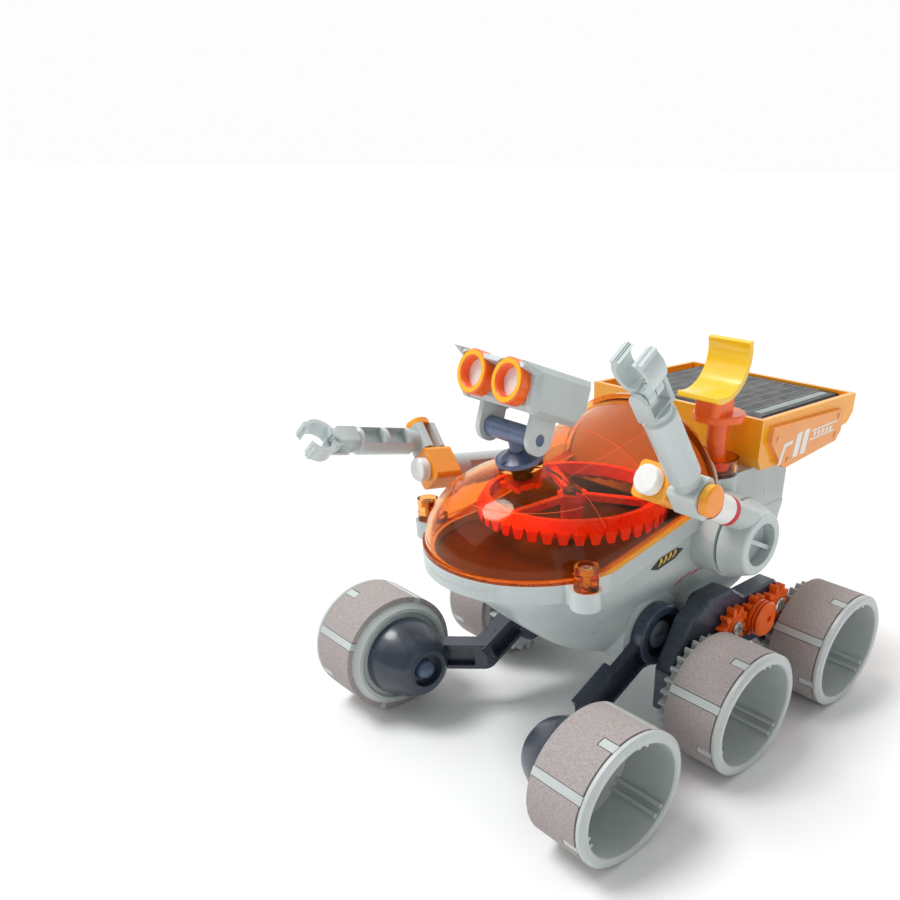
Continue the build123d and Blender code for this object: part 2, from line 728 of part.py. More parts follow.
# ---------------------------------------------------------------- inside the cabin
with BuildPart() as cabin_deck:
    with BuildSketch(Plane.XY.offset(AXLE_Z + 46.0)):
        add(bow_plan(HULL_R - WALL - 0.3, ARCH_Y - WALL - 0.3))
    extrude(amount=1.6)
    with BuildSketch(Plane.XY.offset(AXLE_Z + 46.0)):
        with Locations((0, CROWN_Y)):
            Circle(4.5)
    extrude(amount=5.0)
    # riveted pin for the crown gear
    with BuildSketch(Plane.XY.offset(AXLE_Z + 46.0)):
        with Locations((0, CROWN_Y)):
            Circle(AXLE_R)
    extrude(amount=CROWN_Z + 5.6 - AXLE_Z - 46.0)
    with BuildSketch(Plane.XY.offset(CROWN_Z + 5.4)):
        with Locations((0, CROWN_Y)):
            Circle(3.0)
    extrude(amount=1.2)
keep("cabin_deck", cabin_deck.part)

CROWN_TEETH = 40
with BuildPart() as crown_gear:
    with BuildSketch(Plane.XZ):
        with BuildLine():
            Polyline(
                (25.6, CROWN_Z + 2.6),
                (CROWN_R, CROWN_Z),
                (CROWN_R, CROWN_Z + 3.2),
                (27.4, CROWN_Z + 6.4),
                (25.6, CROWN_Z + 6.4),
                close=True,
            )
        make_face()
    revolve(axis=Axis.Z)
    with BuildSketch(Plane.XY.offset(CROWN_Z - 1)):
        with PolarLocations(CROWN_R, CROWN_TEETH):
            Rectangle(5.4, 3.0)
    extrude(amount=4.6, taper=15, mode=Mode.SUBTRACT)
    with BuildSketch(Plane.XY.offset(CROWN_Z + 3.4)):
        Circle(4.6)
        with PolarLocations(15, 3, start_angle=30):
            Rectangle(24, 2.4)
    extrude(amount=2.0)
    with BuildSketch(Plane.XY.offset(CROWN_Z - 3.6)):
        Circle(3.6)
    extrude(amount=8.6)
    with BuildSketch(Plane.XY):
        Circle(AXLE_R + RUN)
    extrude(amount=200, mode=Mode.SUBTRACT)
keep("crown_gear", placed(crown_gear.part, (0, CROWN_Y, 0)))

DRIVE_TEETH = 20
MOTOR_TEETH = 10
SMALL_MODULE = 0.75
MOTOR_R = 9.0
MOTOR_X = 8.0
MOTOR_DIST = SMALL_MODULE * (DRIVE_TEETH + MOTOR_TEETH) / 2
MOTOR_TURN = 165.0                  # direction from the drive shaft to the motor
MOTOR_Y = DRIVE_Y + MOTOR_DIST * cos(radians(MOTOR_TURN))
MOTOR_Z = DRIVE_Z + MOTOR_DIST * sin(radians(MOTOR_TURN))
MOTOR_PHASE = mesh_phase(0, DRIVE_TEETH, MOTOR_TURN, MOTOR_TEETH)

with BuildPart() as drive_gear:
    with BuildSketch(side_plane(MOTOR_X, DRIVE_Y, DRIVE_Z)):
        add(gear_sketch(DRIVE_TEETH, SMALL_MODULE, 0, AXLE_R))
    extrude(amount=3.0)
    with BuildSketch(side_plane(MOTOR_X - 2, DRIVE_Y, DRIVE_Z)):
        Circle(3.6)
        Circle(AXLE_R, mode=Mode.SUBTRACT)
    extrude(amount=7.0)
keep("drive_gear", drive_gear.part)

MOTOR_SHAFT_R = 1.0
with BuildPart() as motor_pinion:
    with BuildSketch(side_plane(MOTOR_X - 1.0, MOTOR_Y, MOTOR_Z)):
        add(gear_sketch(MOTOR_TEETH, SMALL_MODULE, MOTOR_PHASE, MOTOR_SHAFT_R))
    extrude(amount=5.0)
keep("motor_pinion", motor_pinion.part)

with BuildPart() as motor_shaft:
    with BuildSketch(side_plane(MOTOR_X - 6.0, MOTOR_Y, MOTOR_Z)):
        Circle(MOTOR_SHAFT_R)
    extrude(amount=10.0)
keep("motor_shaft", motor_shaft.part)

with BuildPart() as motor:
    with BuildSketch(side_plane(MOTOR_X - 24.0, MOTOR_Y, MOTOR_Z)):
        Circle(MOTOR_R)
        Rectangle(24, 14.0, mode=Mode.INTERSECT)
    extrude(amount=20.0)
    with BuildSketch(side_plane(MOTOR_X - 4.0, MOTOR_Y, MOTOR_Z)):
        Circle(3.0)
    extrude(amount=1.2)
    with BuildSketch(side_plane(MOTOR_X - 26.0, MOTOR_Y, MOTOR_Z)):
        Circle(4.5)
    extrude(amount=2.0)
    with BuildSketch(side_plane(MOTOR_X - 6.0, MOTOR_Y, MOTOR_Z)):
        Circle(MOTOR_SHAFT_R + RUN)
    extrude(amount=10.0, mode=Mode.SUBTRACT)
keep("motor", motor.part)

# ---------------------------------------------------------------- tray and solar panel
with BuildPart() as tray:
    with BuildSketch(side_plane(0, FRONT_Y, AXLE_Z)):
        with BuildLine():
            Polyline(
                (87.0, 81.4),
                (144.0, 81.0),
                (144.0, 74.5),
                (141.0, 71.2),
                (133.0, 70.2),
                (97.0, 65.2),
                (89.0, 65.6),
                (87.0, 69.0),
                close=True,
            )
        make_face()
    extrude(amount=TRAY_X, both=True)
    well_y = (TRAY_FRONT + TRAY_BACK) / 2
    well_l = TRAY_BACK - TRAY_FRONT - 2 * WALL
    with BuildSketch(Plane.XY.offset(PANEL_Z)):
        with Locations((0, well_y)):
            Rectangle(2 * (TRAY_X - WALL), well_l)
    extrude(amount=20, mode=Mode.SUBTRACT)
    with BuildSketch(Plane.XY.offset(PANEL_Z - 1.6)):
        with Locations((0, well_y)):
            Rectangle(2 * (TRAY_X - WALL), well_l)
    extrude(amount=-30, mode=Mode.SUBTRACT)
    # ledge that frames the panel
    with BuildSketch(Plane.XY.offset(PANEL_Z)):
        with Locations((0, well_y)):
            Rectangle(2 * (TRAY_X - WALL) + 1, well_l + 1)
        with Locations((0, (PANEL_FRONT + PANEL_BACK) / 2)):
            Rectangle(2 * PANEL_X + 0.3, PANEL_BACK - PANEL_FRONT + 0.3, mode=Mode.SUBTRACT)
    extrude(amount=1.0)
keep("tray", tray.part)

with BuildPart() as side_plates:
    for sign in (1, -1):
        with BuildSketch(side_plane(sign * TRAY_X, FRONT_Y, AXLE_Z)):
            with BuildLine():
                Polyline(
                    (91.5, 78.6),
                    (133.8, 77.4),
                    (134.6, 76.0),
                    (134.0, 70.0),
                    (131.5, 67.2),
                    (100.6, 64.2),
                    (98.8, 65.0),
                    (90.6, 74.2),
                    close=True,
                )
            make_face()
        extrude(amount=sign * 1.8)
        with BuildSketch(side_plane(sign * (TRAY_X + 1.8), FRONT_Y, AXLE_Z)):
            with Locations((94.2, 74.6), (101.6, 66.8), (131.2, 75.6), (130.4, 69.2)):
                Circle(0.8)
        extrude(amount=sign * 0.35)
keep("side_plates", side_plates.part)

with BuildPart() as solar_panel:
    panel_y = (PANEL_FRONT + PANEL_BACK) / 2
    with BuildSketch(Plane.XY.offset(PANEL_Z)):
        with Locations((0, panel_y)):
            Rectangle(2 * PANEL_X, PANEL_BACK - PANEL_FRONT)
    extrude(amount=PANEL_T)
    chamfer(solar_panel.faces().sort_by(Axis.Z)[-1].edges(), length=0.8)
keep("solar_panel", solar_panel.part)

# ---------------------------------------------------------------- front arms
ARM_DROP = degrees(atan2(PIVOT_Z - KNEE_Z, PIVOT_Y - KNEE_Y))
HUB_SIDE = 43.4


def beam(width, height, length, web, pocket):
    """Channel-section beam along -X of its own frame, open on both sides."""
    with BuildPart() as bar:
        with Locations((-length / 2, 0, 0)):
            Box(length, width, height)
            for side in (1, -1):
                with Locations((0, side * (width / 2), 0)):
                    Box(length - 2 * pocket, width - web, height - 2.8, mode=Mode.SUBTRACT)
    return bar.part


with BuildPart() as front_arm:
    # sloping beam from the boss to the knee
    beam_len = sqrt((PIVOT_Z - KNEE_Z) ** 2 + (PIVOT_Y - KNEE_Y) ** 2)
    beam_x = (ARM_IN + ARM_OUT) / 2
    slope = Plane(
        origin=(beam_x, PIVOT_Y, PIVOT_Z),
        x_dir=(0, cos(radians(ARM_DROP)), sin(radians(ARM_DROP))),
        z_dir=(0, -sin(radians(ARM_DROP)), cos(radians(ARM_DROP))),
    )
    with Locations(slope.location):
        add(beam(ARM_OUT - ARM_IN, ARM_H, beam_len + 1.0, 1.6, 3.0))
    # level beam from the knee out to the hub
    reach = Plane(
        origin=(beam_x, KNEE_Y, KNEE_Z),
        x_dir=(-1, 1, 0),
        z_dir=(0, 0, 1),
    )
    with Locations(reach.location):
        add(beam(ARM_OUT - ARM_IN, ARM_H, 20.0, 1.6, 3.0))
    with BuildSketch(Plane.XY.offset(KNEE_Z - ARM_H / 2)):
        with Locations((beam_x, KNEE_Y)):
            Circle((ARM_OUT - ARM_IN) / 2)
    extrude(amount=ARM_H)
    # pivot boss outside the hull cheek; the beam behind it is cut back to clear the hull
    with BuildSketch(side_plane(0, PIVOT_Y, PIVOT_Z)):
        Circle(CHEEK_R + 6.8)
    extrude(amount=CHEEK_X + GAP, mode=Mode.SUBTRACT)
    with BuildSketch(side_plane(CHEEK_X + GAP, PIVOT_Y, PIVOT_Z)):
        Circle(10.6)
    extrude(amount=ARM_OUT + 1.0 - CHEEK_X - GAP)
    boss_face = front_arm.faces().filter_by(Plane.YZ).group_by(Axis.X)[-1]
    chamfer(boss_face.edges(), length=0.6)
    # dome that carries the stub axle
    with BuildSketch(Plane.XY.offset(AXLE_Z)):
        with BuildLine():
            Line((28.4, FRONT_Y), (28.4, FRONT_Y + 7.2))
            Spline(
                (28.4, FRONT_Y + 7.2),
                (33.2, FRONT_Y + 11.4),
                (41.4, FRONT_Y + 14.2),
                tangents=((0.35, 1), (1, 0.12)),
            )
            Line((41.4, FRONT_Y + 14.2), (HUB_SIDE, FRONT_Y + 14.2))
            Line((HUB_SIDE, FRONT_Y + 14.2), (HUB_SIDE, FRONT_Y))
            Line((HUB_SIDE, FRONT_Y), (28.4, FRONT_Y))
        make_face()
    revolve(axis=Axis((0, FRONT_Y, AXLE_Z), (1, 0, 0)))
    # recesses of the boss and the dome, and the bores
    with BuildSketch(side_plane(ARM_OUT - 2.0, PIVOT_Y, PIVOT_Z)):
        Circle(7.6)
    extrude(amount=6, mode=Mode.SUBTRACT)
    with BuildSketch(side_plane(28.0, FRONT_Y, AXLE_Z)):
        Circle(5.8)
    extrude(amount=3.0, mode=Mode.SUBTRACT)
    with BuildSketch(side_plane(0)):
        with Locations((PIVOT_Y, PIVOT_Z)):
            Circle(2.2 + RUN)
        with Locations((FRONT_Y, AXLE_Z)):
            Circle(AXLE_R)
    extrude(amount=60, mode=Mode.SUBTRACT)
keep("front_arm_right", front_arm.part)
keep("front_arm_left", mirrored(front_arm.part))

with BuildPart() as front_axle:
    with BuildSketch(Plane.XY.offset(AXLE_Z)):
        with BuildLine():
            Line((28.0, FRONT_Y), (28.0, FRONT_Y + 1.0))
            ThreePointArc((28.0, FRONT_Y + 1.0), (28.9, FRONT_Y + 2.8), (30.9, FRONT_Y + 3.7))
            Line((30.9, FRONT_Y + 3.7), (30.9, FRONT_Y))
            Line((30.9, FRONT_Y), (28.0, FRONT_Y))
        make_face()
    revolve(axis=Axis((0, FRONT_Y, AXLE_Z), (1, 0, 0)))
    with BuildSketch(side_plane(30.5, FRONT_Y, AXLE_Z)):
        Circle(AXLE_R)
    extrude(amount=HUB_END + GAP - 30.5)
    with BuildSketch(side_plane(HUB_END + GAP, FRONT_Y, AXLE_Z)):
        Circle(3.2)
    extrude(amount=1.6)
    chamfer(front_axle.faces().sort_by(Axis.X)[-1].edges(), length=0.35)
keep("front_axle_right", front_axle.part)
keep("front_axle_left", mirrored(front_axle.part))

with BuildPart() as pivot_screws:
    for sign in (1, -1):
        with BuildSketch(side_plane(sign * 16, PIVOT_Y, PIVOT_Z)):
            Circle(1.6)
        extrude(amount=sign * (CHEEK_X - 16))
        with BuildSketch(side_plane(sign * CHEEK_X, PIVOT_Y, PIVOT_Z)):
            Circle(2.2)
        extrude(amount=sign * (ARM_OUT - 2.0 + GAP - CHEEK_X))
        with BuildSketch(side_plane(sign * (ARM_OUT - 2.0 + GAP), PIVOT_Y, PIVOT_Z)):
            Circle(4.7)
        extrude(amount=sign * 1.3)
        with BuildSketch(side_plane(sign * (ARM_OUT - 0.7 + GAP), PIVOT_Y, PIVOT_Z)):
            Rectangle(5.2, 1.1)
        extrude(amount=sign * -0.7, mode=Mode.SUBTRACT)
keep("pivot_screws", pivot_screws.part)


# ---------------------------------------------------------------- head and neck
def head_plane(x):
    """Plane of the head's side view: first axis forward, second axis up."""
    pitch = radians(HEAD_PITCH)
    return Plane(
        origin=(x, HEAD_Y, HEAD_Z),
        x_dir=(0, -cos(pitch), sin(pitch)),
        z_dir=(-1, 0, 0),
    )


BARREL_R = 2.9
EAR_PIN_R = 1.6
EYE_UP = 12.6
EYE_X = 7.2
EYE_R = 5.9
EYE_BACK = 9.05
eye_face = Plane(
    origin=(0, HEAD_Y, HEAD_Z),
    x_dir=(1, 0, 0),
    z_dir=(0, -cos(radians(HEAD_PITCH)), sin(radians(HEAD_PITCH))),
)
with BuildPart() as head_shell:
    with BuildSketch(head_plane(0)):
        with BuildLine():
            Polyline(
                (-10.2, 16.8),
                (7.0, 16.8),
                (12.6, 17.8),
                (13.4, 16.6),
                (9.0, 15.2),
                (8.6, 7.6),
                (7.4, 6.2),
                (-7.2, 6.2),
                (-10.2, 10.0),
                close=True,
            )
        make_face()
    extrude(amount=12.8, both=True)
    for sign in (1, -1):
        with BuildSketch(head_plane(sign * 12.6)):
            with BuildLine():
                Polyline(
                    (-10.8, 18.2),
                    (14.6, 18.2),
                    (10.0, 15.4),
                    (9.6, 8.0),
                    (8.0, 6.0),
                    (-7.8, 5.4),
                    (-11.2, 10.4),
                    close=True,
                )
            make_face()
        extrude(amount=-sign * 1.6)
        with BuildSketch(head_plane(sign * 14.2)):
            with BuildLine():
                Polyline(
                    (-10.8, 18.2),
                    (14.6, 18.2),
                    (10.0, 15.4),
                    (9.6, 8.0),
                    (8.0, 6.0),
                    (-7.8, 5.4),
                    (-11.2, 10.4),
                    close=True,
                )
            make_face()
        extrude(amount=-sign * 1.8, taper=40)
        # ears that grip the barrel
        with BuildSketch(head_plane(sign * 9.4)):
            Circle(4.3)
            with Locations((0, 4.0)):
                Rectangle(8.6, 8.0)
        extrude(amount=-sign * 1.8)
    with BuildSketch(head_plane(20)):
        Circle(EAR_PIN_R + RUN)
    extrude(amount=40, mode=Mode.SUBTRACT)
    with BuildSketch(eye_face.offset(EYE_BACK)):
        with Locations((EYE_X, EYE_UP), (-EYE_X, EYE_UP)):
            Circle(EYE_R + 0.05)
    extrude(amount=12, mode=Mode.SUBTRACT)
keep("head_shell", head_shell.part)

with BuildPart() as eye_rings:
    with BuildSketch(eye_face.offset(EYE_BACK)):
        with Locations((EYE_X, EYE_UP), (-EYE_X, EYE_UP)):
            Circle(EYE_R)
            Circle(3.9, mode=Mode.SUBTRACT)
    extrude(amount=4.0)
    chamfer(eye_rings.edges().filter_by(GeomType.CIRCLE).group_by(Axis.Y)[0], length=0.4)
keep("eye_rings", eye_rings.part)

with BuildPart() as eye_lenses:
    with BuildSketch(eye_face.offset(EYE_BACK)):
        with Locations((EYE_X, EYE_UP), (-EYE_X, EYE_UP)):
            Circle(3.85)
    extrude(amount=1.2)
keep("eye_lenses", eye_lenses.part)

with BuildPart() as neck:
    with BuildSketch(side_plane(-9.1, HEAD_Y, HEAD_Z)):
        Circle(BARREL_R)
    extrude(amount=18.2)
    with BuildSketch(side_plane(-10.8, HEAD_Y, HEAD_Z)):
        Circle(EAR_PIN_R)
    extrude(amount=21.6)
    with BuildSketch(neck_plane):
        Circle(2.2)
    extrude(amount=8.0)
    with BuildSketch(neck_plane):
        Circle(6.9)
    extrude(amount=1.1)
    with BuildSketch(neck_plane.offset(1.1)):
        Circle(6.2)
    extrude(amount=1.9, taper=60)
    with BuildSketch(neck_plane.offset(1.2)):
        with Locations((0, -4.6)):
            RegularPolygon(1.9, 3, rotation=-90)
    extrude(amount=0.6)
    with BuildSketch(neck_plane):
        Circle(3.0)
    extrude(amount=-7.2)
keep("neck", neck.part)

with BuildPart() as neck_clip:
    with BuildSketch(neck_plane.offset(-7.2)):
        Circle(5.4)
        Circle(3.0, mode=Mode.SUBTRACT)
        with PolarLocations(5.8, 6):
            Rectangle(2.0, 1.8)
    extrude(amount=1.6)
keep("neck_clip", neck_clip.part)

# ---------------------------------------------------------------- dish
with BuildPart() as dish_post:
    with BuildSketch(Plane.XY.offset(AXLE_Z + 53)):
        with Locations((DISH_X, DISH_Y)):
            Circle(3.3)
    extrude(amount=29.0)
    with BuildSketch(Plane.XY.offset(CUP_Z + 1.0 + GAP)):
        with Locations((DISH_X, DISH_Y)):
            Circle(4.6)
    extrude(amount=2.0)
    with BuildSketch(Plane.XY.offset(AXLE_Z + 81.6)):
        with Locations((DISH_X, DISH_Y)):
            Circle(8.1)
    extrude(amount=2.2)
    chamfer(dish_post.edges().group_by(Axis.Z)[-1], length=0.4)
    with BuildSketch(Plane.XY.offset(AXLE_Z + 83.6)):
        with Locations((DISH_X, DISH_Y - 3.0)):
            RectangleRounded(9.0, 10.0, 2.0)
    extrude(amount=13.0)
    with BuildSketch(side_plane(0, DISH_CY, DISH_CZ)):
        Circle(DISH_BEND + DISH_T)
    extrude(amount=60, mode=Mode.SUBTRACT)
keep("dish_post", dish_post.part)

DISH_W = 15.0
with BuildPart() as dish:
    with BuildSketch(side_plane(DISH_X - DISH_W / 2, DISH_CY, DISH_CZ)):
        Circle(DISH_BEND + DISH_T)
        Circle(DISH_BEND, mode=Mode.SUBTRACT)
        with BuildLine(mode=Mode.PRIVATE) as sector:
            Polyline(
                (0, 0),
                (30 * cos(radians(18)), 30 * sin(radians(18))),
                (40, -40),
                (30 * cos(radians(104)), -30 * sin(radians(104))),
                close=True,
            )
        add(make_face(sector.edges(), mode=Mode.PRIVATE), mode=Mode.INTERSECT)
    extrude(amount=DISH_W)
    fillet(dish.edges().filter_by(Axis.X), radius=0.4)
keep("dish", dish.part)


# ---------------------------------------------------------------- arms
# Each arm is drawn reaching along -Y from its shoulder at the origin, with its outer
# side towards +X, then set at its shoulder. The left arm is the mirror image.
ELBOW_HALF = 4.8                    # half depth of the elbow block
with BuildPart() as upper_arm:
    with BuildSketch(Plane.XY):
        with BuildLine():
            Polyline(
                (-4.0, 0),
                (-4.0, 12.0),
                (-3.4, 12.6),
                (4.0, 9.9),
                (4.5, 9.3),
                (4.5, 0),
                close=True,
            )
        make_face()
    revolve(axis=Axis.X)
    with BuildSketch(Plane.XZ.offset(2.0)):
        with Locations((0, TUBE_UP)):
            Circle(TUBE_R)
    extrude(amount=ELBOW_REACH - ELBOW_HALF - GAP - 2.0)
    with BuildSketch(side_plane(0.5)):
        Circle(6.8)
    extrude(amount=6, mode=Mode.SUBTRACT)
    with BuildSketch(side_plane(0.3)):
        Rectangle(14.0, 1.4)
    extrude(amount=3.0)
    with BuildSketch(side_plane(-11.0)):
        Circle(5.0)
    extrude(amount=7.2)
    # spigot for the elbow, and two core pockets on the inner side of the tube
    with BuildSketch(Plane.XZ.offset(ELBOW_REACH - 6.0)):
        with Locations((0, TUBE_UP)):
            Circle(2.0)
    extrude(amount=12.6)
    for pocket_y in (-36.5, -22.0):
        with Locations((-TUBE_R, pocket_y, TUBE_UP)):
            Box(TUBE_R * 1.3, 11.0, 5.0, mode=Mode.SUBTRACT)

with BuildPart() as elbow:
    with Locations((0, -ELBOW_REACH, TUBE_UP)):
        Box(11.0, 2 * ELBOW_HALF, 9.8)
    fillet(elbow.edges().filter_by(Axis.Y), radius=1.6)
    with BuildSketch(side_plane(5.0, -ELBOW_REACH, TUBE_UP)):
        Circle(1.9)
    extrude(amount=10.0)
    with BuildSketch(side_plane(14.7, -ELBOW_REACH, TUBE_UP)):
        Circle(4.1)
    extrude(amount=2.4)
    chamfer(elbow.faces().sort_by(Axis.X)[-1].edges(), length=0.5)
    with BuildSketch(Plane.XZ.offset(ELBOW_REACH - 8.0)):
        with Locations((0, TUBE_UP)):
            Circle(2.0 + RUN)
    extrude(amount=20, mode=Mode.SUBTRACT)

with BuildPart() as elbow_knob:
    with BuildSketch(Plane.XZ.offset(ELBOW_REACH + ELBOW_HALF + GAP)):
        with Locations((0, TUBE_UP)):
            Circle(3.8)
    extrude(amount=3.0)
    chamfer(elbow_knob.faces().sort_by(Axis.Y)[0].edges(), length=0.4)
    with BuildSketch(Plane.XZ.offset(ELBOW_REACH + 5.0)):
        with Locations((0, TUBE_UP)):
            Circle(2.0)
    extrude(amount=1.6, mode=Mode.SUBTRACT)

# forearm, drawn from the elbow pin at the origin of its own frame
FORE_R = 4.2
TUBE_END = 27.8                     # far end of the forearm tube
KNUCKLE = 2.3
CLAW_HALF = 2.8                     # half height of the jaws
CLAW_PIN_R = 1.2
CLIP_IN = 5.5 + GAP
CLIP_OUT = 14.7 - GAP
with BuildPart() as forearm:
    with Locations(((CLIP_IN + CLIP_OUT) / 2, 0, 0)):
        Box(CLIP_OUT - CLIP_IN, 9.0, 8.6)
    fillet(forearm.edges().filter_by(Axis.X), radius=1.8)
    with BuildSketch(Plane.XZ.offset(4.0)):
        with Locations((FORE_X, 0)):
            Circle(3.5)
    extrude(amount=4.0)
    with BuildSketch(Plane.XZ.offset(7.8)):
        with Locations((FORE_X, 0)):
            Circle(FORE_R)
    extrude(amount=TUBE_END - 7.8)
    chamfer(forearm.edges().filter_by(GeomType.CIRCLE).group_by(Axis.Y)[0], length=0.6)
    with BuildSketch(Plane.XZ.offset(TUBE_END - 1.0)):
        with Locations((FORE_X, 0)):
            Circle(3.5)
    extrude(amount=2.4)
    # wrist cheeks and claw pin
    for sign in (1, -1):
        with BuildSketch(Plane.XY.offset(sign * (CLAW_HALF + GAP))):
            with Locations((FORE_X, -WRIST_REACH)):
                Circle(KNUCKLE)
            with Locations((FORE_X, -WRIST_REACH + 2.9)):
                Rectangle(2 * KNUCKLE, 5.8)
        extrude(amount=sign * 1.2)
    with BuildSketch(Plane.XY.offset(-4.0)):
        with Locations((FORE_X, -WRIST_REACH)):
            Circle(CLAW_PIN_R)
    extrude(amount=8.0)
    with BuildSketch(Plane.XZ.offset(TUBE_END + 1.0)):
        with Locations((FORE_X, 0)):
            Rectangle(2 * KNUCKLE, 2 * (CLAW_HALF + GAP + 1.2))
    extrude(amount=1.2)
    # bore of the snap-on clip with its throat on the upper side, and core pockets
    with BuildSketch(side_plane(0)):
        Circle(1.9 + RUN)
        with Locations((0, 4)):
            Rectangle(3.0, 8.0)
    extrude(amount=30, mode=Mode.SUBTRACT)
    for pocket_y in (-13.2, -22.6):
        with Locations((FORE_X, pocket_y, FORE_R - 1.0)):
            Box(5.4, 7.6, 4.8, mode=Mode.SUBTRACT)


CLAW_REACH = 6.2                    # claw pin to the centre of the round grip
CLAW_R = 5.35


def jaw(sign):
    """One claw jaw about the claw pin at the origin, curling to one side."""
    with BuildPart() as hook:
        with BuildSketch(Plane.XY.offset(-CLAW_HALF)):
            with Locations((0, -CLAW_REACH)):
                Circle(CLAW_R)
                Circle(CLAW_R - 1.25, mode=Mode.SUBTRACT)
            with Locations((-sign * 10, -CLAW_REACH)):
                Rectangle(20 + 0.6, 40, mode=Mode.SUBTRACT)
            with Locations((0, -CLAW_REACH - 5.6)):
                Rectangle(6.2, 3.7, mode=Mode.SUBTRACT)
        extrude(amount=2 * CLAW_HALF)
        with Locations((sign * 3.6, -CLAW_REACH - 3.4, 0)):
            Box(1.7, 1.3, 2 * CLAW_HALF)
        # knuckle: one jaw takes the upper half of the pin, the other the lower half
        low = GAP / 2 if sign > 0 else -CLAW_HALF
        with BuildSketch(Plane.XY.offset(-CLAW_HALF - 0.1)):
            Circle(KNUCKLE + GAP)
        extrude(amount=2 * CLAW_HALF + 0.2, mode=Mode.SUBTRACT)
        with BuildSketch(Plane.XY.offset(low)):
            Circle(KNUCKLE)
            with Locations((sign * 1.3, -1.9)):
                Rectangle(2.2, 2.3)
            Circle(CLAW_PIN_R + RUN, mode=Mode.SUBTRACT)
        extrude(amount=CLAW_HALF - GAP / 2)
    return hook.part


jaws = {"outer": jaw(1), "inner": jaw(-1)}

SHOULDER_AT = Location((REACH_X, SHOULDER_Y, SHOULDER_Z))
arm_poses = {
    "right": (RIGHT_LIFT, 0.0, RIGHT_BEND),
    "left": (LEFT_LIFT, LEFT_ROLL, LEFT_BEND),
}
for side, (lift, roll, bend) in arm_poses.items():
    lifted = SHOULDER_AT * Location((0, 0, 0), (-lift, 0, 0))
    tube_end = Location((0, 0, TUBE_UP))
    rolled = lifted * tube_end * Location((0, 0, 0), (0, -roll, 0)) * tube_end.inverse()
    pin_at = Location((0, -ELBOW_REACH, TUBE_UP))
    bent = rolled * pin_at * Location((0, 0, 0), (-bend, 0, 0))
    wrist = bent * Location((FORE_X, -WRIST_REACH, 0))
    arm_set = {
        f"upper_arm_{side}": placed(upper_arm.part, lifted),
        f"elbow_knob_{side}": placed(elbow_knob.part, lifted),
        f"elbow_{side}": placed(elbow.part, rolled),
        f"forearm_{side}": placed(forearm.part, bent),
        f"claw_outer_{side}": placed(jaws["outer"], wrist),
        f"claw_inner_{side}": placed(jaws["inner"], wrist),
    }
    for name, solid in arm_set.items():
        keep(name, solid if side == "right" else mirrored(solid))

# ---------------------------------------------------------------- write the pieces
os.makedirs("parts", exist_ok=True)
for name, solid in pieces.items():
    export_step(solid, f"parts/{name}.step")
print(len(pieces), "nodes")
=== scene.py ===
import json
import math

import bmesh
import bpy
from mathutils import Matrix, Vector
from mathutils.bvhtree import BVHTree


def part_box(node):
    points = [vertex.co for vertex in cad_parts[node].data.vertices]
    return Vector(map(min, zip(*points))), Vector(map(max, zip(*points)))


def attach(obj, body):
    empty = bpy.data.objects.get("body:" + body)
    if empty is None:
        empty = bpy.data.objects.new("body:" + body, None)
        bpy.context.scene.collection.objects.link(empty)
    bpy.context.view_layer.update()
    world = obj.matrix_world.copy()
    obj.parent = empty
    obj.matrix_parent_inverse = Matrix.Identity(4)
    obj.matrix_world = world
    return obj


# The rover faces -Y. "Right" in the names means the +X side. Small sizes are written in millimetres.
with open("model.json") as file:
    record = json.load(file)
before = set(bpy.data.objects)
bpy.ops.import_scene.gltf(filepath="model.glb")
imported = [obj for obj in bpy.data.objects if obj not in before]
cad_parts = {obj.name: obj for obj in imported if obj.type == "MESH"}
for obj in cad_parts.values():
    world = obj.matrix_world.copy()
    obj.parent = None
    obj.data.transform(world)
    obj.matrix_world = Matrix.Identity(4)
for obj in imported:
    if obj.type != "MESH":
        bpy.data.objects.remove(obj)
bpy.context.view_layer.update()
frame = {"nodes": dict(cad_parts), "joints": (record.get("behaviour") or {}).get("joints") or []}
MM = 0.001
scene = bpy.context.scene
SIDES = {"right": 1, "left": -1}
hub_lo, hub_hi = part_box("wheel_front_right")
FY = (hub_lo.y + hub_hi.y) / 2 / MM     # front axle, in millimetres
AZ = (hub_lo.z + hub_hi.z) / 2 / MM     # axle height
BOW = FY + 24.0                         # centre of the canopy's round bow
RIM_Z = AZ + 50.0                       # canopy rim at the bow
RIM_RISE = 0.2035                       # slope of the rim behind the bow
TUBE_R = 4.2                            # radius of the upper arm tube

# ---------------------------------------------------------------- materials
def shader(name):
    """A new material: the material, its tree, its Principled node and its output."""
    m = bpy.data.materials.new(name)
    m.use_nodes = True
    m.node_tree.nodes.clear()
    out = m.node_tree.nodes.new("ShaderNodeOutputMaterial")
    bsdf = m.node_tree.nodes.new("ShaderNodeBsdfPrincipled")
    m.node_tree.links.new(bsdf.outputs[0], out.inputs[0])
    return m, m.node_tree, bsdf, out


def noise(tree, scale, detail=2.0, rough=0.5):
    """Noise fixed to the piece it is on."""
    coord = tree.nodes.new("ShaderNodeTexCoord")
    n = tree.nodes.new("ShaderNodeTexNoise")
    n.inputs["Scale"].default_value = scale
    n.inputs["Detail"].default_value = detail
    n.inputs["Roughness"].default_value = rough
    tree.links.new(coord.outputs["Object"], n.inputs["Vector"])
    return n.outputs["Fac"]


def ramp(tree, fac, stops):
    """Colour ramp over fac through (position, colour) stops."""
    r = tree.nodes.new("ShaderNodeValToRGB")
    while len(r.color_ramp.elements) < len(stops):
        r.color_ramp.elements.new(0.5)
    for e, (pos, col) in zip(r.color_ramp.elements, stops):
        e.position = pos
        e.color = (*col, 1.0)
    tree.links.new(fac, r.inputs[0])
    return r.outputs[0]


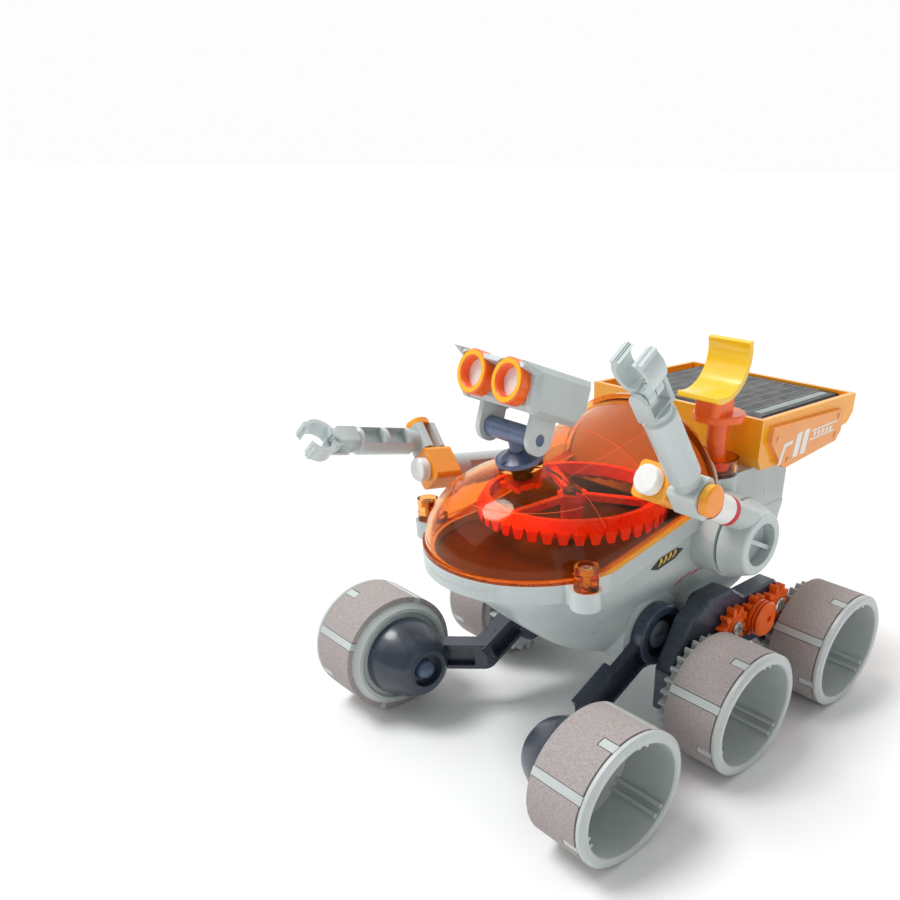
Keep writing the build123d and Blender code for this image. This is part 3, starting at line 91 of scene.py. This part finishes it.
def remap(tree, fac, low, high, a=0.3, b=0.7):
    """Map fac from a..b to low..high, clamped."""
    n = tree.nodes.new("ShaderNodeMapRange")
    for i, v in enumerate((a, b, low, high), start=1):
        n.inputs[i].default_value = v
    tree.links.new(fac, n.inputs[0])
    return n.outputs[0]


def bump(tree, bsdf, fac, strength, distance):
    """Bump the surface with fac."""
    b = tree.nodes.new("ShaderNodeBump")
    b.inputs["Strength"].default_value = strength
    b.inputs["Distance"].default_value = distance
    tree.links.new(fac, b.inputs["Height"])
    tree.links.new(b.outputs[0], bsdf.inputs["Normal"])


def shade(c, k):
    """Colour c made lighter or darker."""
    return tuple(min(1.0, v * k) for v in c)


def plastic(name, color, rough=0.35, grain=2600.0, depth=0.12, edge=1.18, coat=0.0, spec=0.5):
    """Moulded plastic: faint flow marks, fine mould grain and paler rubbed edges."""
    m, t, b, out = shader(name)
    flow = ramp(t, noise(t, 70.0, 3.0), [(0.30, shade(color, 0.93)), (0.72, shade(color, 1.05))])
    geo = t.nodes.new("ShaderNodeNewGeometry")
    worn = ramp(t, geo.outputs["Pointiness"], [(0.50, (0, 0, 0)), (0.60, (1, 1, 1))])
    mix = t.nodes.new("ShaderNodeMix")
    mix.data_type = "RGBA"
    t.links.new(worn, mix.inputs["Factor"])
    t.links.new(flow, mix.inputs["A"])
    mix.inputs["B"].default_value = (*shade(color, edge), 1.0)
    t.links.new(mix.outputs["Result"], b.inputs["Base Color"])
    t.links.new(remap(t, noise(t, 240.0, 4.0), rough - 0.06, rough + 0.09), b.inputs["Roughness"])
    bump(t, b, noise(t, grain, 2.0, 0.6), depth, 0.00006)
    b.inputs["Coat Weight"].default_value = coat
    b.inputs["Coat Roughness"].default_value = 0.12
    b.inputs["Specular IOR Level"].default_value = spec
    return m


def lit_face_plastic(name, side, painted_lit_color, direction, rough=0.3):
    """Moulded plastic with painted light: faces towards one direction of the piece are painted a lighter
    colour, as lit faces, and the rest keeps the darker colour, as shaded faces.
    """
    m = plastic(name, side, rough, coat=0.3)
    t = m.node_tree
    b = next(n for n in t.nodes if n.type == "BSDF_PRINCIPLED")
    base = b.inputs["Base Color"].links[0].from_socket
    coord = t.nodes.new("ShaderNodeTexCoord")
    dot = t.nodes.new("ShaderNodeVectorMath")
    dot.operation = "DOT_PRODUCT"
    dot.inputs[1].default_value = Vector(direction).normalized()
    t.links.new(coord.outputs["Normal"], dot.inputs[0])
    # painted light: the lighter colour is mixed in where the piece's faces turn towards direction
    mix = t.nodes.new("ShaderNodeMix")
    mix.data_type = "RGBA"
    t.links.new(remap(t, dot.outputs["Value"], 0.0, 1.0, 0.72, 0.94), mix.inputs["Factor"])
    t.links.new(base, mix.inputs["A"])
    mix.inputs["B"].default_value = (*painted_lit_color, 1.0)
    t.links.new(mix.outputs["Result"], b.inputs["Base Color"])
    return m


def foam(name, color):
    """Closed-cell foam: speckled skin, fine pores and dark pits."""
    m, t, b, out = shader(name)
    speck = noise(t, 1900.0, 6.0, 0.75)
    col = ramp(t, speck, [(0.30, shade(color, 0.58)), (0.47, shade(color, 0.95)), (0.72, shade(color, 1.28))])
    t.links.new(col, b.inputs["Base Color"])
    t.links.new(remap(t, noise(t, 90.0), 0.84, 0.98), b.inputs["Roughness"])
    bump(t, b, speck, 0.7, 0.00022)
    b.inputs["Specular IOR Level"].default_value = 0.2
    return m


def rim_plane():
    """Normal and offset, in metres, of the plane of the sloping canopy rim."""
    normal = Vector((0, -RIM_RISE, 1.0)).normalized()
    return normal, normal.dot(Vector((0, BOW * MM, RIM_Z * MM)))


def clear(name, tint, rough=0.04, ior=1.22, edge_glow=None):
    """Clear tinted moulding that lets lamplight through, with a rim that glows where asked."""
    m, t, b, out = shader(name)
    col = ramp(t, noise(t, 45.0, 2.0), [(0.3, shade(tint, 0.94)), (0.7, tint)])
    t.links.new(col, b.inputs["Base Color"])
    t.links.new(remap(t, noise(t, 160.0, 3.0), rough * 0.6, rough * 1.5), b.inputs["Roughness"])
    bump(t, b, noise(t, 55.0, 1.0), 0.10, 0.0002)
    b.inputs["Transmission Weight"].default_value = 1.0
    b.inputs["IOR"].default_value = ior
    b.inputs["Coat Weight"].default_value = 0.25
    b.inputs["Coat Roughness"].default_value = 0.03
    lamp = t.nodes.new("ShaderNodeBsdfTransparent")
    lamp.inputs[0].default_value = (*shade(tint, 0.95), 1.0)
    path = t.nodes.new("ShaderNodeLightPath")
    mix = t.nodes.new("ShaderNodeMixShader")
    if edge_glow is not None:
        normal, offset = rim_plane()
        geo = t.nodes.new("ShaderNodeNewGeometry")
        dot = t.nodes.new("ShaderNodeVectorMath")
        dot.operation = "DOT_PRODUCT"
        dot.inputs[1].default_value = normal
        t.links.new(geo.outputs["Position"], dot.inputs[0])
        near = remap(t, dot.outputs["Value"], 1.0, 0.0, offset + 0.0012, offset + 0.0024)
        both = t.nodes.new("ShaderNodeMix")
        both.data_type = "RGBA"
        t.links.new(near, both.inputs["Factor"])
        t.links.new(col, both.inputs["A"])
        both.inputs["B"].default_value = (*edge_glow, 1.0)
        t.links.new(both.outputs["Result"], b.inputs["Base Color"])
        t.links.new(remap(t, near, 1.0, 0.25, 0.0, 1.0), b.inputs["Transmission Weight"])
    t.links.new(path.outputs["Is Shadow Ray"], mix.inputs[0])
    t.links.new(b.outputs[0], mix.inputs[1])
    t.links.new(lamp.outputs[0], mix.inputs[2])
    t.links.new(mix.outputs[0], out.inputs[0])
    return m


def metal(name, color, rough=0.28):
    """Plated steel with fine drawn scratches."""
    m, t, b, out = shader(name)
    tint = ramp(t, noise(t, 300.0, 4.0), [(0.3, shade(color, 0.85)), (0.7, color)])
    t.links.new(tint, b.inputs["Base Color"])
    t.links.new(remap(t, noise(t, 900.0, 4.0), rough - 0.08, rough + 0.14), b.inputs["Roughness"])
    bump(t, b, noise(t, 1800.0, 3.0), 0.15, 0.00004)
    b.inputs["Metallic"].default_value = 1.0
    return m


def paper(name, color):
    """Plain matt paper with a barely seen grain."""
    m, t, b, out = shader(name)
    tint = ramp(t, noise(t, 900.0), [(0.3, shade(color, 0.995)), (0.7, color)])
    t.links.new(tint, b.inputs["Base Color"])
    b.inputs["Roughness"].default_value = 0.85
    b.inputs["Specular IOR Level"].default_value = 0.1
    return m


PALE = (0.50, 0.565, 0.56)
# NAVY is set to the drum's lit colour: part its own navy, part painted light; the arms and gear cases use the
# darker navy
NAVY = (0.075, 0.11, 0.19)
M = {
    "pale": plastic("pale_plastic", PALE, 0.33, coat=0.15),
    "wheel": plastic("wheel_plastic", (0.50, 0.545, 0.535), 0.36),
    "navy": plastic("navy_plastic", NAVY, 0.30, edge=1.7, coat=0.2),
    "navy_dark": plastic("dark_navy_plastic", (0.026, 0.036, 0.056), 0.30, edge=2.0, coat=0.25),
    "navy_flat": plastic("navy_pad_plastic", (0.13, 0.16, 0.20), 0.45, edge=1.2),
    "orange": plastic("orange_plastic", (0.95, 0.24, 0.015), 0.27, coat=0.3),
    "amber": plastic("amber_plastic", (1.0, 0.36, 0.012), 0.25, coat=0.25),
    # eye rings and elbows: faces towards the front and top are painted lighter, as lit, over a darker shaded
    # colour; painted light
    "eye_ring": lit_face_plastic("eye_ring_plastic", (0.93, 0.13, 0.008), (1.0, 0.50, 0.012), (0, -0.94, 0.34)),
    "elbow": lit_face_plastic("elbow_plastic", (1.0, 0.30, 0.010), (1.0, 0.50, 0.03), (0, -0.5, 0.87)),
    "gear": plastic("gear_plastic", (0.92, 0.13, 0.006), 0.30, coat=0.2),
    "yellow": plastic("yellow_plastic", (1.0, 0.52, 0.012), 0.16, depth=0.05, coat=0.5),
    "red": plastic("red_plastic", (0.95, 0.06, 0.02), 0.26, coat=0.3),
    "white": plastic("white_plastic", (0.86, 0.87, 0.85), 0.28, edge=1.05, coat=0.2),
    "peach": plastic("side_plate_plastic", (1.0, 0.40, 0.12), 0.35),
    "rivet": plastic("rivet_plastic", (0.42, 0.36, 0.24), 0.45),
    "brown": plastic("cabin_plastic", (0.06, 0.034, 0.02), 0.40),
    "dark": plastic("dark_ink", (0.03, 0.03, 0.035), 0.5, edge=1.0),
    "ink_red": plastic("red_ink", (0.62, 0.02, 0.03), 0.45, edge=1.0),
    "ink_yellow": plastic("yellow_ink", (0.85, 0.55, 0.05), 0.45, edge=1.0),
    "ink_white": plastic("white_ink", (0.88, 0.88, 0.86), 0.45, edge=1.0),
    "cell": plastic("cell_black", (0.005, 0.006, 0.007), 0.30, depth=0.03, edge=1.3, spec=0.25),
    "bar": plastic("cell_silver", (0.20, 0.25, 0.25), 0.35),
    "foam": foam("foam_tread", (0.43, 0.385, 0.375)),
    "steel": metal("plated_steel", (0.62, 0.62, 0.60)),
    "canopy": clear("clear_orange", (1.0, 0.47, 0.13), ior=1.16, edge_glow=(1.0, 0.46, 0.035)),
    "cup": clear("clear_amber", (1.0, 0.42, 0.05), 0.06, 1.35),
}

LOOK = {
    "hull": "pale",
    "cabin_deck": "brown",
    "canopy": "canopy",
    "canopy_screws": "steel",
    "crown_gear": "red",
    "motor": "steel",
    "motor_shaft": "steel",
    "motor_pinion": "white",
    "drive_shaft": "steel",
    "drive_gear": "orange",
    "idler_pins": "steel",
    "bogie_axles": "steel",
    "pivot_screws": "navy_flat",
    "tray": "amber",
    "side_plates": "peach",
    "solar_panel": "cell",
    "head_shell": "pale",
    "eye_rings": "eye_ring",
    "eye_lenses": "white",
    "neck": "navy",
    "neck_clip": "gear",
    "dish_cup": "cup",
    "dish_post": "gear",
    "dish": "yellow",
}
for side in SIDES:
    for row in ("front", "middle", "rear"):
        LOOK[f"wheel_{row}_{side}"] = "wheel"
        LOOK[f"tread_{row}_{side}"] = "foam"
    for row in ("front", "rear"):
        LOOK[f"idler_gear_{row}_{side}"] = "gear"
    LOOK[f"centre_gear_{side}"] = "gear"
    LOOK[f"gear_case_{side}"] = "navy_dark"
    LOOK[f"front_arm_{side}"] = "navy_dark"
    LOOK[f"front_axle_{side}"] = "navy"
    LOOK[f"elbow_{side}"] = "elbow"
    LOOK[f"elbow_knob_{side}"] = "white"
    for name in ("upper_arm", "forearm", "claw_outer", "claw_inner"):
        LOOK[f"{name}_{side}"] = "pale"
for node, look in LOOK.items():
    for place in frame["nodes"][node].material_slots:
        place.material = M[look]


# ---------------------------------------------------------------- mesh helpers
def piece(name, bm, look, body, smooth=False):
    """A finished mesh as a named piece that rides on a body."""
    mesh = bpy.data.meshes.new(name)
    bmesh.ops.recalc_face_normals(bm, faces=bm.faces)
    bm.to_mesh(mesh)
    bm.free()
    mesh.materials.append(M[look])
    o = bpy.data.objects.new(name, mesh)
    scene.collection.objects.link(o)
    if smooth:
        for p in mesh.polygons:
            p.use_smooth = True
    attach(o, body)
    return o


def prism(bm, outline, place, thick):
    """A flat plate: outline in millimetres on the plane of place, thick along its third axis."""
    low = [bm.verts.new(place @ Vector((u * MM, v * MM, 0))) for u, v in outline]
    top = [bm.verts.new(place @ Vector((u * MM, v * MM, thick * MM))) for u, v in outline]
    bm.faces.new(low[::-1])
    bm.faces.new(top)
    for i in range(len(low)):
        j = (i + 1) % len(low)
        bm.faces.new((low[i], low[j], top[j], top[i]))


def side_place(x, sign):
    """Plane of a side wall: first axis towards the rear, second up, third outwards."""
    return Matrix(((0, 0, sign, x * MM), (1, 0, 0, 0), (0, 1, 0, 0), (0, 0, 0, 1)))


def tube(bm, points, radius, sides=8):
    """A thin round bead along points, in metres."""
    rings = []
    for i, p in enumerate(points):
        along = (points[min(i + 1, len(points) - 1)] - points[max(i - 1, 0)]).normalized()
        a = along.orthogonal().normalized()
        b = along.cross(a)
        if rings:               # carry the last ring's direction on, so that the bead doesn't twist
            a = (prev - along * prev.dot(along)).normalized()
            b = along.cross(a)
        prev = a
        ring = []
        for k in range(sides):
            w = 2 * math.pi * k / sides
            ring.append(bm.verts.new(p + (a * math.cos(w) + b * math.sin(w)) * radius))
        rings.append(ring)
    for r0, r1 in zip(rings, rings[1:]):
        for k in range(sides):
            n = (k + 1) % sides
            bm.faces.new((r0[k], r0[n], r1[n], r1[k]))
    bm.faces.new(rings[0][::-1])
    bm.faces.new(rings[-1])


def tree_of(node):
    """Search tree of a node's skin."""
    mesh = frame["nodes"][node].data
    return BVHTree.FromPolygons([v.co for v in mesh.vertices], [p.vertices[:] for p in mesh.polygons])


hull_skin = tree_of("hull")
canopy_skin = tree_of("canopy")
FAR_SIDE = 0.09         # metres, outside the rover on either side
FAR_UP = 0.2            # metres, above the rover
STICKER_LIFT = 0.00008
STICKER_DEPTH = 0.00025


def on_side(skin, y, z, sign):
    """Point just off the outer skin at y, z, in metres, seen from one side."""
    hit = skin.ray_cast(Vector((sign * FAR_SIDE, y, z)), Vector((-sign, 0, 0)))
    return hit[0] + hit[1].normalized() * STICKER_LIFT * (1 if hit[1].x * sign > 0 else -1)


def sticker(name, outline, sign, look, skin):
    """Printed mark laid on a curved side of the base: outline in metres in the y, z plane."""
    bm = bmesh.new()
    flat = [bm.verts.new((0, y, z)) for y, z in outline]
    bm.faces.new(flat)
    bmesh.ops.triangulate(bm, faces=bm.faces)
    bmesh.ops.subdivide_edges(bm, edges=bm.edges, cuts=3, use_grid_fill=True)
    for v in bm.verts:
        v.co = on_side(skin, v.co.y, v.co.z, sign)
    skin_faces = bm.faces[:]
    bmesh.ops.recalc_face_normals(bm, faces=skin_faces)
    made = bmesh.ops.extrude_face_region(bm, geom=skin_faces)
    for v in [g for g in made["geom"] if isinstance(g, bmesh.types.BMVert)]:
        v.co.x -= sign * STICKER_DEPTH
    return piece(name, bm, look, "base")


# ---------------------------------------------------------------- solar panel
STRIPES = 11
LINE_HALF = 0.14        # half width of a line between two cells
INK_SINK = 0.12         # how deep the printed lines start in the panel
CELL_INSET = 2.6
BAR_W = 3.4
BAR_GAP = 1.2
lo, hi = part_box("solar_panel")
top = hi.z - INK_SINK * MM
middle = (lo.y + hi.y) / 2
x0 = lo.x + CELL_INSET * MM
x1 = hi.x - (CELL_INSET + BAR_W + BAR_GAP) * MM


def strip(bm, x, y, half_x, half_y, thick):
    """A printed strip on the panel, centred at x, y in metres."""
    outline = [(-half_x, -half_y), (half_x, -half_y), (half_x, half_y), (-half_x, half_y)]
    prism(bm, outline, Matrix.Translation((x, y, top)), thick)


cells = bmesh.new()
half = (hi.y - lo.y) / 2 / MM - 2.4
for i in range(STRIPES + 1):
    strip(cells, x0 + (x1 - x0) * i / STRIPES, middle, LINE_HALF, half, 0.16)
for y in (lo.y + 2.2 * MM, hi.y - 2.2 * MM):
    strip(cells, (x0 + x1) / 2, y, (x1 - x0) / 2 / MM, 0.3, 0.17)
piece("cell_lines", cells, "bar", "base")
busbar = bmesh.new()
half -= 1.0
place = Matrix.Translation((hi.x - (CELL_INSET + BAR_W / 2) * MM, middle, top))
prism(busbar, [(-1.5, -half), (1.5, -half), (1.5, half - 1), (0.6, half), (-1.5, half)], place, 0.18)
piece("cell_busbar", busbar, "bar", "base")

# ---------------------------------------------------------------- tray side marks and rivets
# outlines in millimetres behind and above the lower front corner of a side plate
PLATE_MARKS = [
    [(5.2, 1.6), (6.6, 1.6), (8.9, 7.2), (12.4, 7.4), (12.8, 8.6), (7.8, 8.4)],
    [(13.6, 2.6), (16.6, 2.7), (18.0, 10.4), (15.0, 10.3)],
    [(18.0, 2.8), (21.0, 2.9), (22.4, 10.6), (19.4, 10.5)],
    [(23.0, 6.4), (38.2, 7.0), (38.4, 7.5), (23.1, 6.9)],
    [(23.6, 9.2), (39.6, 9.8), (39.8, 10.3), (23.7, 9.7)],
]
for k in range(5):
    u = 25.0 + 2.5 * k
    PLATE_MARKS.append([(u, 7.5), (u + 1.5, 7.56), (u + 1.8, 9.0), (u + 0.3, 8.94)])
RIVETS_AT = ((94.2, 74.6), (101.6, 66.8), (131.2, 75.6), (130.4, 69.2))     # from the front axle
RIVET_R = 0.86
RIVET_SIDES = 16
PLATE_BACK = 0.35       # outer faces of the plates lie this far inside their rivets' heads

lo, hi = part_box("side_plates")
for side, sign in SIDES.items():
    at = side_place(sign * (hi.x / MM - PLATE_BACK), sign)
    corner = at @ Matrix.Translation((lo.y, lo.z, 0))
    marks = bmesh.new()
    for outline in PLATE_MARKS:
        prism(marks, outline, corner, 0.06)
    piece(f"plate_marks_{side}", marks, "ink_white", "base")
    rivets = bmesh.new()
    ring = []
    for w in range(RIVET_SIDES):
        turn = 2 * math.pi * w / RIVET_SIDES
        ring.append((RIVET_R * math.cos(turn), RIVET_R * math.sin(turn)))
    for u, v in RIVETS_AT:
        prism(rivets, ring, at @ Matrix.Translation(((u + FY) * MM, (v + AZ) * MM, 0.32 * MM)), 0.02)
    piece(f"plate_rivets_{side}", rivets, "rivet", "base")


# ---------------------------------------------------------------- printed marks on the hull
# name, look, and outline in millimetres behind and above the front axle
HULL_MARKS = [
    ("arrow_plate", "dark",
     [(43.0, 44.0), (46.6, 46.8), (54.2, 48.2), (58.0, 46.8), (54.4, 44.4), (46.6, 42.9)]),
    ("red_slash", "ink_red", [(63.0, 29.6), (64.3, 29.9), (66.6, 35.6), (65.3, 35.3)]),
    ("warning_mark", "ink_red", [(68.2, 32.6), (71.8, 33.3), (70.2, 36.2)]),
    ("thin_bar_a", "dark", [(72.2, 34.2), (77.4, 34.9), (77.4, 35.3), (72.2, 34.6)]),
    ("thin_bar_b", "dark", [(72.8, 33.0), (76.6, 33.5), (76.6, 33.9), (72.8, 33.4)]),
]
ARROW_LIFT = 0.00006    # metres off the plate the arrows are printed on
ARROW = ((0, 0), (1.1, 1.3), (0.6, 2.5), (1.2, 2.6), (1.9, 1.4), (0.8, 0))
for k in range(4):
    at_y = 46.4 + 2.1 * k
    at_z = 44.1 + 0.4 * k
    HULL_MARKS.append((f"arrow_{k}", "ink_yellow", [(at_y + u, at_z + v) for u, v in ARROW]))
for side, sign in SIDES.items():
    for name, look, points in HULL_MARKS:
        outline = [((u + FY) * MM, (v + AZ) * MM) for u, v in points]
        made = sticker(f"{name}_{side}", outline, sign, look, hull_skin)
        if look == "ink_yellow":
            made.location.x = sign * ARROW_LIFT

# ---------------------------------------------------------------- label band on the right arm
joint = {j["name"]: j for j in frame["joints"]}
elbow = Vector(joint["elbow_roll_right"]["pos_m"])
tube_dir = Vector(joint["elbow_roll_right"]["axis"]).normalized()


def band(name, start, length, lift, look):
    """A thin sleeve round the right arm tube: millimetres from the elbow, minus towards the shoulder."""
    a = tube_dir.orthogonal().normalized()
    b = tube_dir.cross(a)
    sides = 40
    outer = (TUBE_R + lift) * MM
    inner = outer - 0.08 * MM
    bm = bmesh.new()
    loops = []
    for s, r in ((start, inner), (start, outer), (start + length, outer), (start + length, inner)):
        loop = []
        for k in range(sides):
            w = 2 * math.pi * k / sides
            loop.append(bm.verts.new(elbow + tube_dir * s * MM + (a * math.cos(w) + b * math.sin(w)) * r))
        loops.append(loop)
    for l0, l1 in zip(loops, loops[1:] + loops[:1]):
        for k in range(sides):
            n = (k + 1) % sides
            bm.faces.new((l0[k], l0[n], l1[n], l1[k]))
    return piece(name, bm, look, "upper_arm_right")


band("arm_band_maroon", -34.5, 2.2, 0.16, "ink_red")
band("arm_band_white", -32.2, 7.8, 0.10, "ink_white")
band("arm_band_maroon_thin", -24.3, 0.8, 0.14, "ink_red")


# ---------------------------------------------------------------- canopy seam lines
SEAM_R = 0.00009
SEAM_LIFT = 0.00002


def seam(points):
    """A fine raised line along points x, y in millimetres, dropped on the canopy's outer skin."""
    line = []
    for x, y in points:
        hit = canopy_skin.ray_cast(Vector((x * MM, y * MM, FAR_UP)), Vector((0, 0, -1)))
        if hit[0] is not None:
            line.append(hit[0] + Vector((0, 0, SEAM_LIFT)))
    tube(seams, line, SEAM_R)


seams = bmesh.new()
for sign in (1, -1):
    seam([(sign * 14.0, BOW - 3.0 + 1.9 * k) for k in range(26)])
    turns = [math.radians(-90 + sign * 4.5 * k) for k in range(20)]
    seam([(23.5 * math.cos(w), BOW + 23.5 * math.sin(w)) for w in turns])
for y in (BOW + 1.0, BOW + 22.0):
    seam([(-29.0 + 2.0 * k, y) for k in range(30)])
piece("canopy_seams", seams, "gear", "base", smooth=True)

# ---------------------------------------------------------------- floor, light and camera
FLOOR_HALF = 40         # metres, far enough to meet the horizon
FLOOR_DROP = 0.00005
bm = bmesh.new()
for x, y in ((-1, -1), (1, -1), (1, 1), (-1, 1)):
    bm.verts.new((x * FLOOR_HALF, y * FLOOR_HALF, -FLOOR_DROP))
bm.faces.new(bm.verts)
floor_mesh = bpy.data.meshes.new("floor")
bm.to_mesh(floor_mesh)
bm.free()
floor_mesh.materials.append(paper("floor_paper", (0.93, 0.93, 0.93)))
floor = bpy.data.objects.new("floor", floor_mesh)
scene.collection.objects.link(floor)

# a studio with a bright wall behind the rover and dimmer sides
WALL_DIRECTION = Vector((-0.62, 0.78, 0.0)).normalized()
WALL_BRIGHT = 0.98
WALL_DIM = 0.32
world = bpy.data.worlds.new("studio")
scene.world = world
world.use_nodes = True
sky = world.node_tree
wall = sky.nodes.new("ShaderNodeTexCoord")
across = sky.nodes.new("ShaderNodeVectorMath")
across.operation = "DOT_PRODUCT"
across.inputs[1].default_value = WALL_DIRECTION
sky.links.new(wall.outputs["Generated"], across.inputs[0])
glow = remap(sky, across.outputs["Value"], WALL_DIM, WALL_BRIGHT, -0.10, 0.62)
sky.links.new(glow, sky.nodes["Background"].inputs[1])
sky.nodes["Background"].inputs[0].default_value = (1.0, 1.0, 1.0, 1.0)

CENTRE = Vector((0, 0, 0.06))           # what the lamps face
SUN_DIRECTION = Vector((0.36, 0.26, -0.9))
for name, at, size, power in (
    ("key", (-0.45, -0.60, 0.75), 0.70, 1.5),
    ("top", (0.10, 0.20, 0.95), 0.90, 1.0),
    ("side", (0.80, -0.10, 0.30), 0.50, 0.5),
):
    lamp = bpy.data.lights.new(name, "AREA")
    lamp.energy = power
    lamp.size = size
    o = bpy.data.objects.new(name, lamp)
    scene.collection.objects.link(o)
    o.location = at
    o.rotation_euler = (CENTRE - Vector(at)).to_track_quat("-Z", "Y").to_euler()

sun = bpy.data.lights.new("daylight", "SUN")
sun.energy = 1.9
sun.angle = math.radians(24)
o = bpy.data.objects.new("daylight", sun)
scene.collection.objects.link(o)
o.rotation_euler = SUN_DIRECTION.to_track_quat("-Z", "Y").to_euler()

# camera solved from the photograph's wheels and panel
eye = Vector((173.8, -131.7 + FY, 147.3 + AZ)) * MM
aim = Vector((7.82, 37.8 + FY, -2.86 + AZ)) * MM
cam = bpy.data.cameras.new("camera")
cam.sensor_width = 36.0
cam.lens = 32.5
cam.shift_x = -0.1458
cam.shift_y = 0.2533
cam.clip_start = 0.01
camera = bpy.data.objects.new("camera", cam)
scene.collection.objects.link(camera)
look_along = (aim - eye).to_track_quat("-Z", "Y").to_matrix().to_4x4()
roll = Matrix.Rotation(math.radians(0.84), 4, "Z")     # the photograph leans a little
camera.matrix_world = Matrix.Translation(eye) @ look_along @ roll
scene.camera = camera
scene.view_settings.view_transform = "Standard"
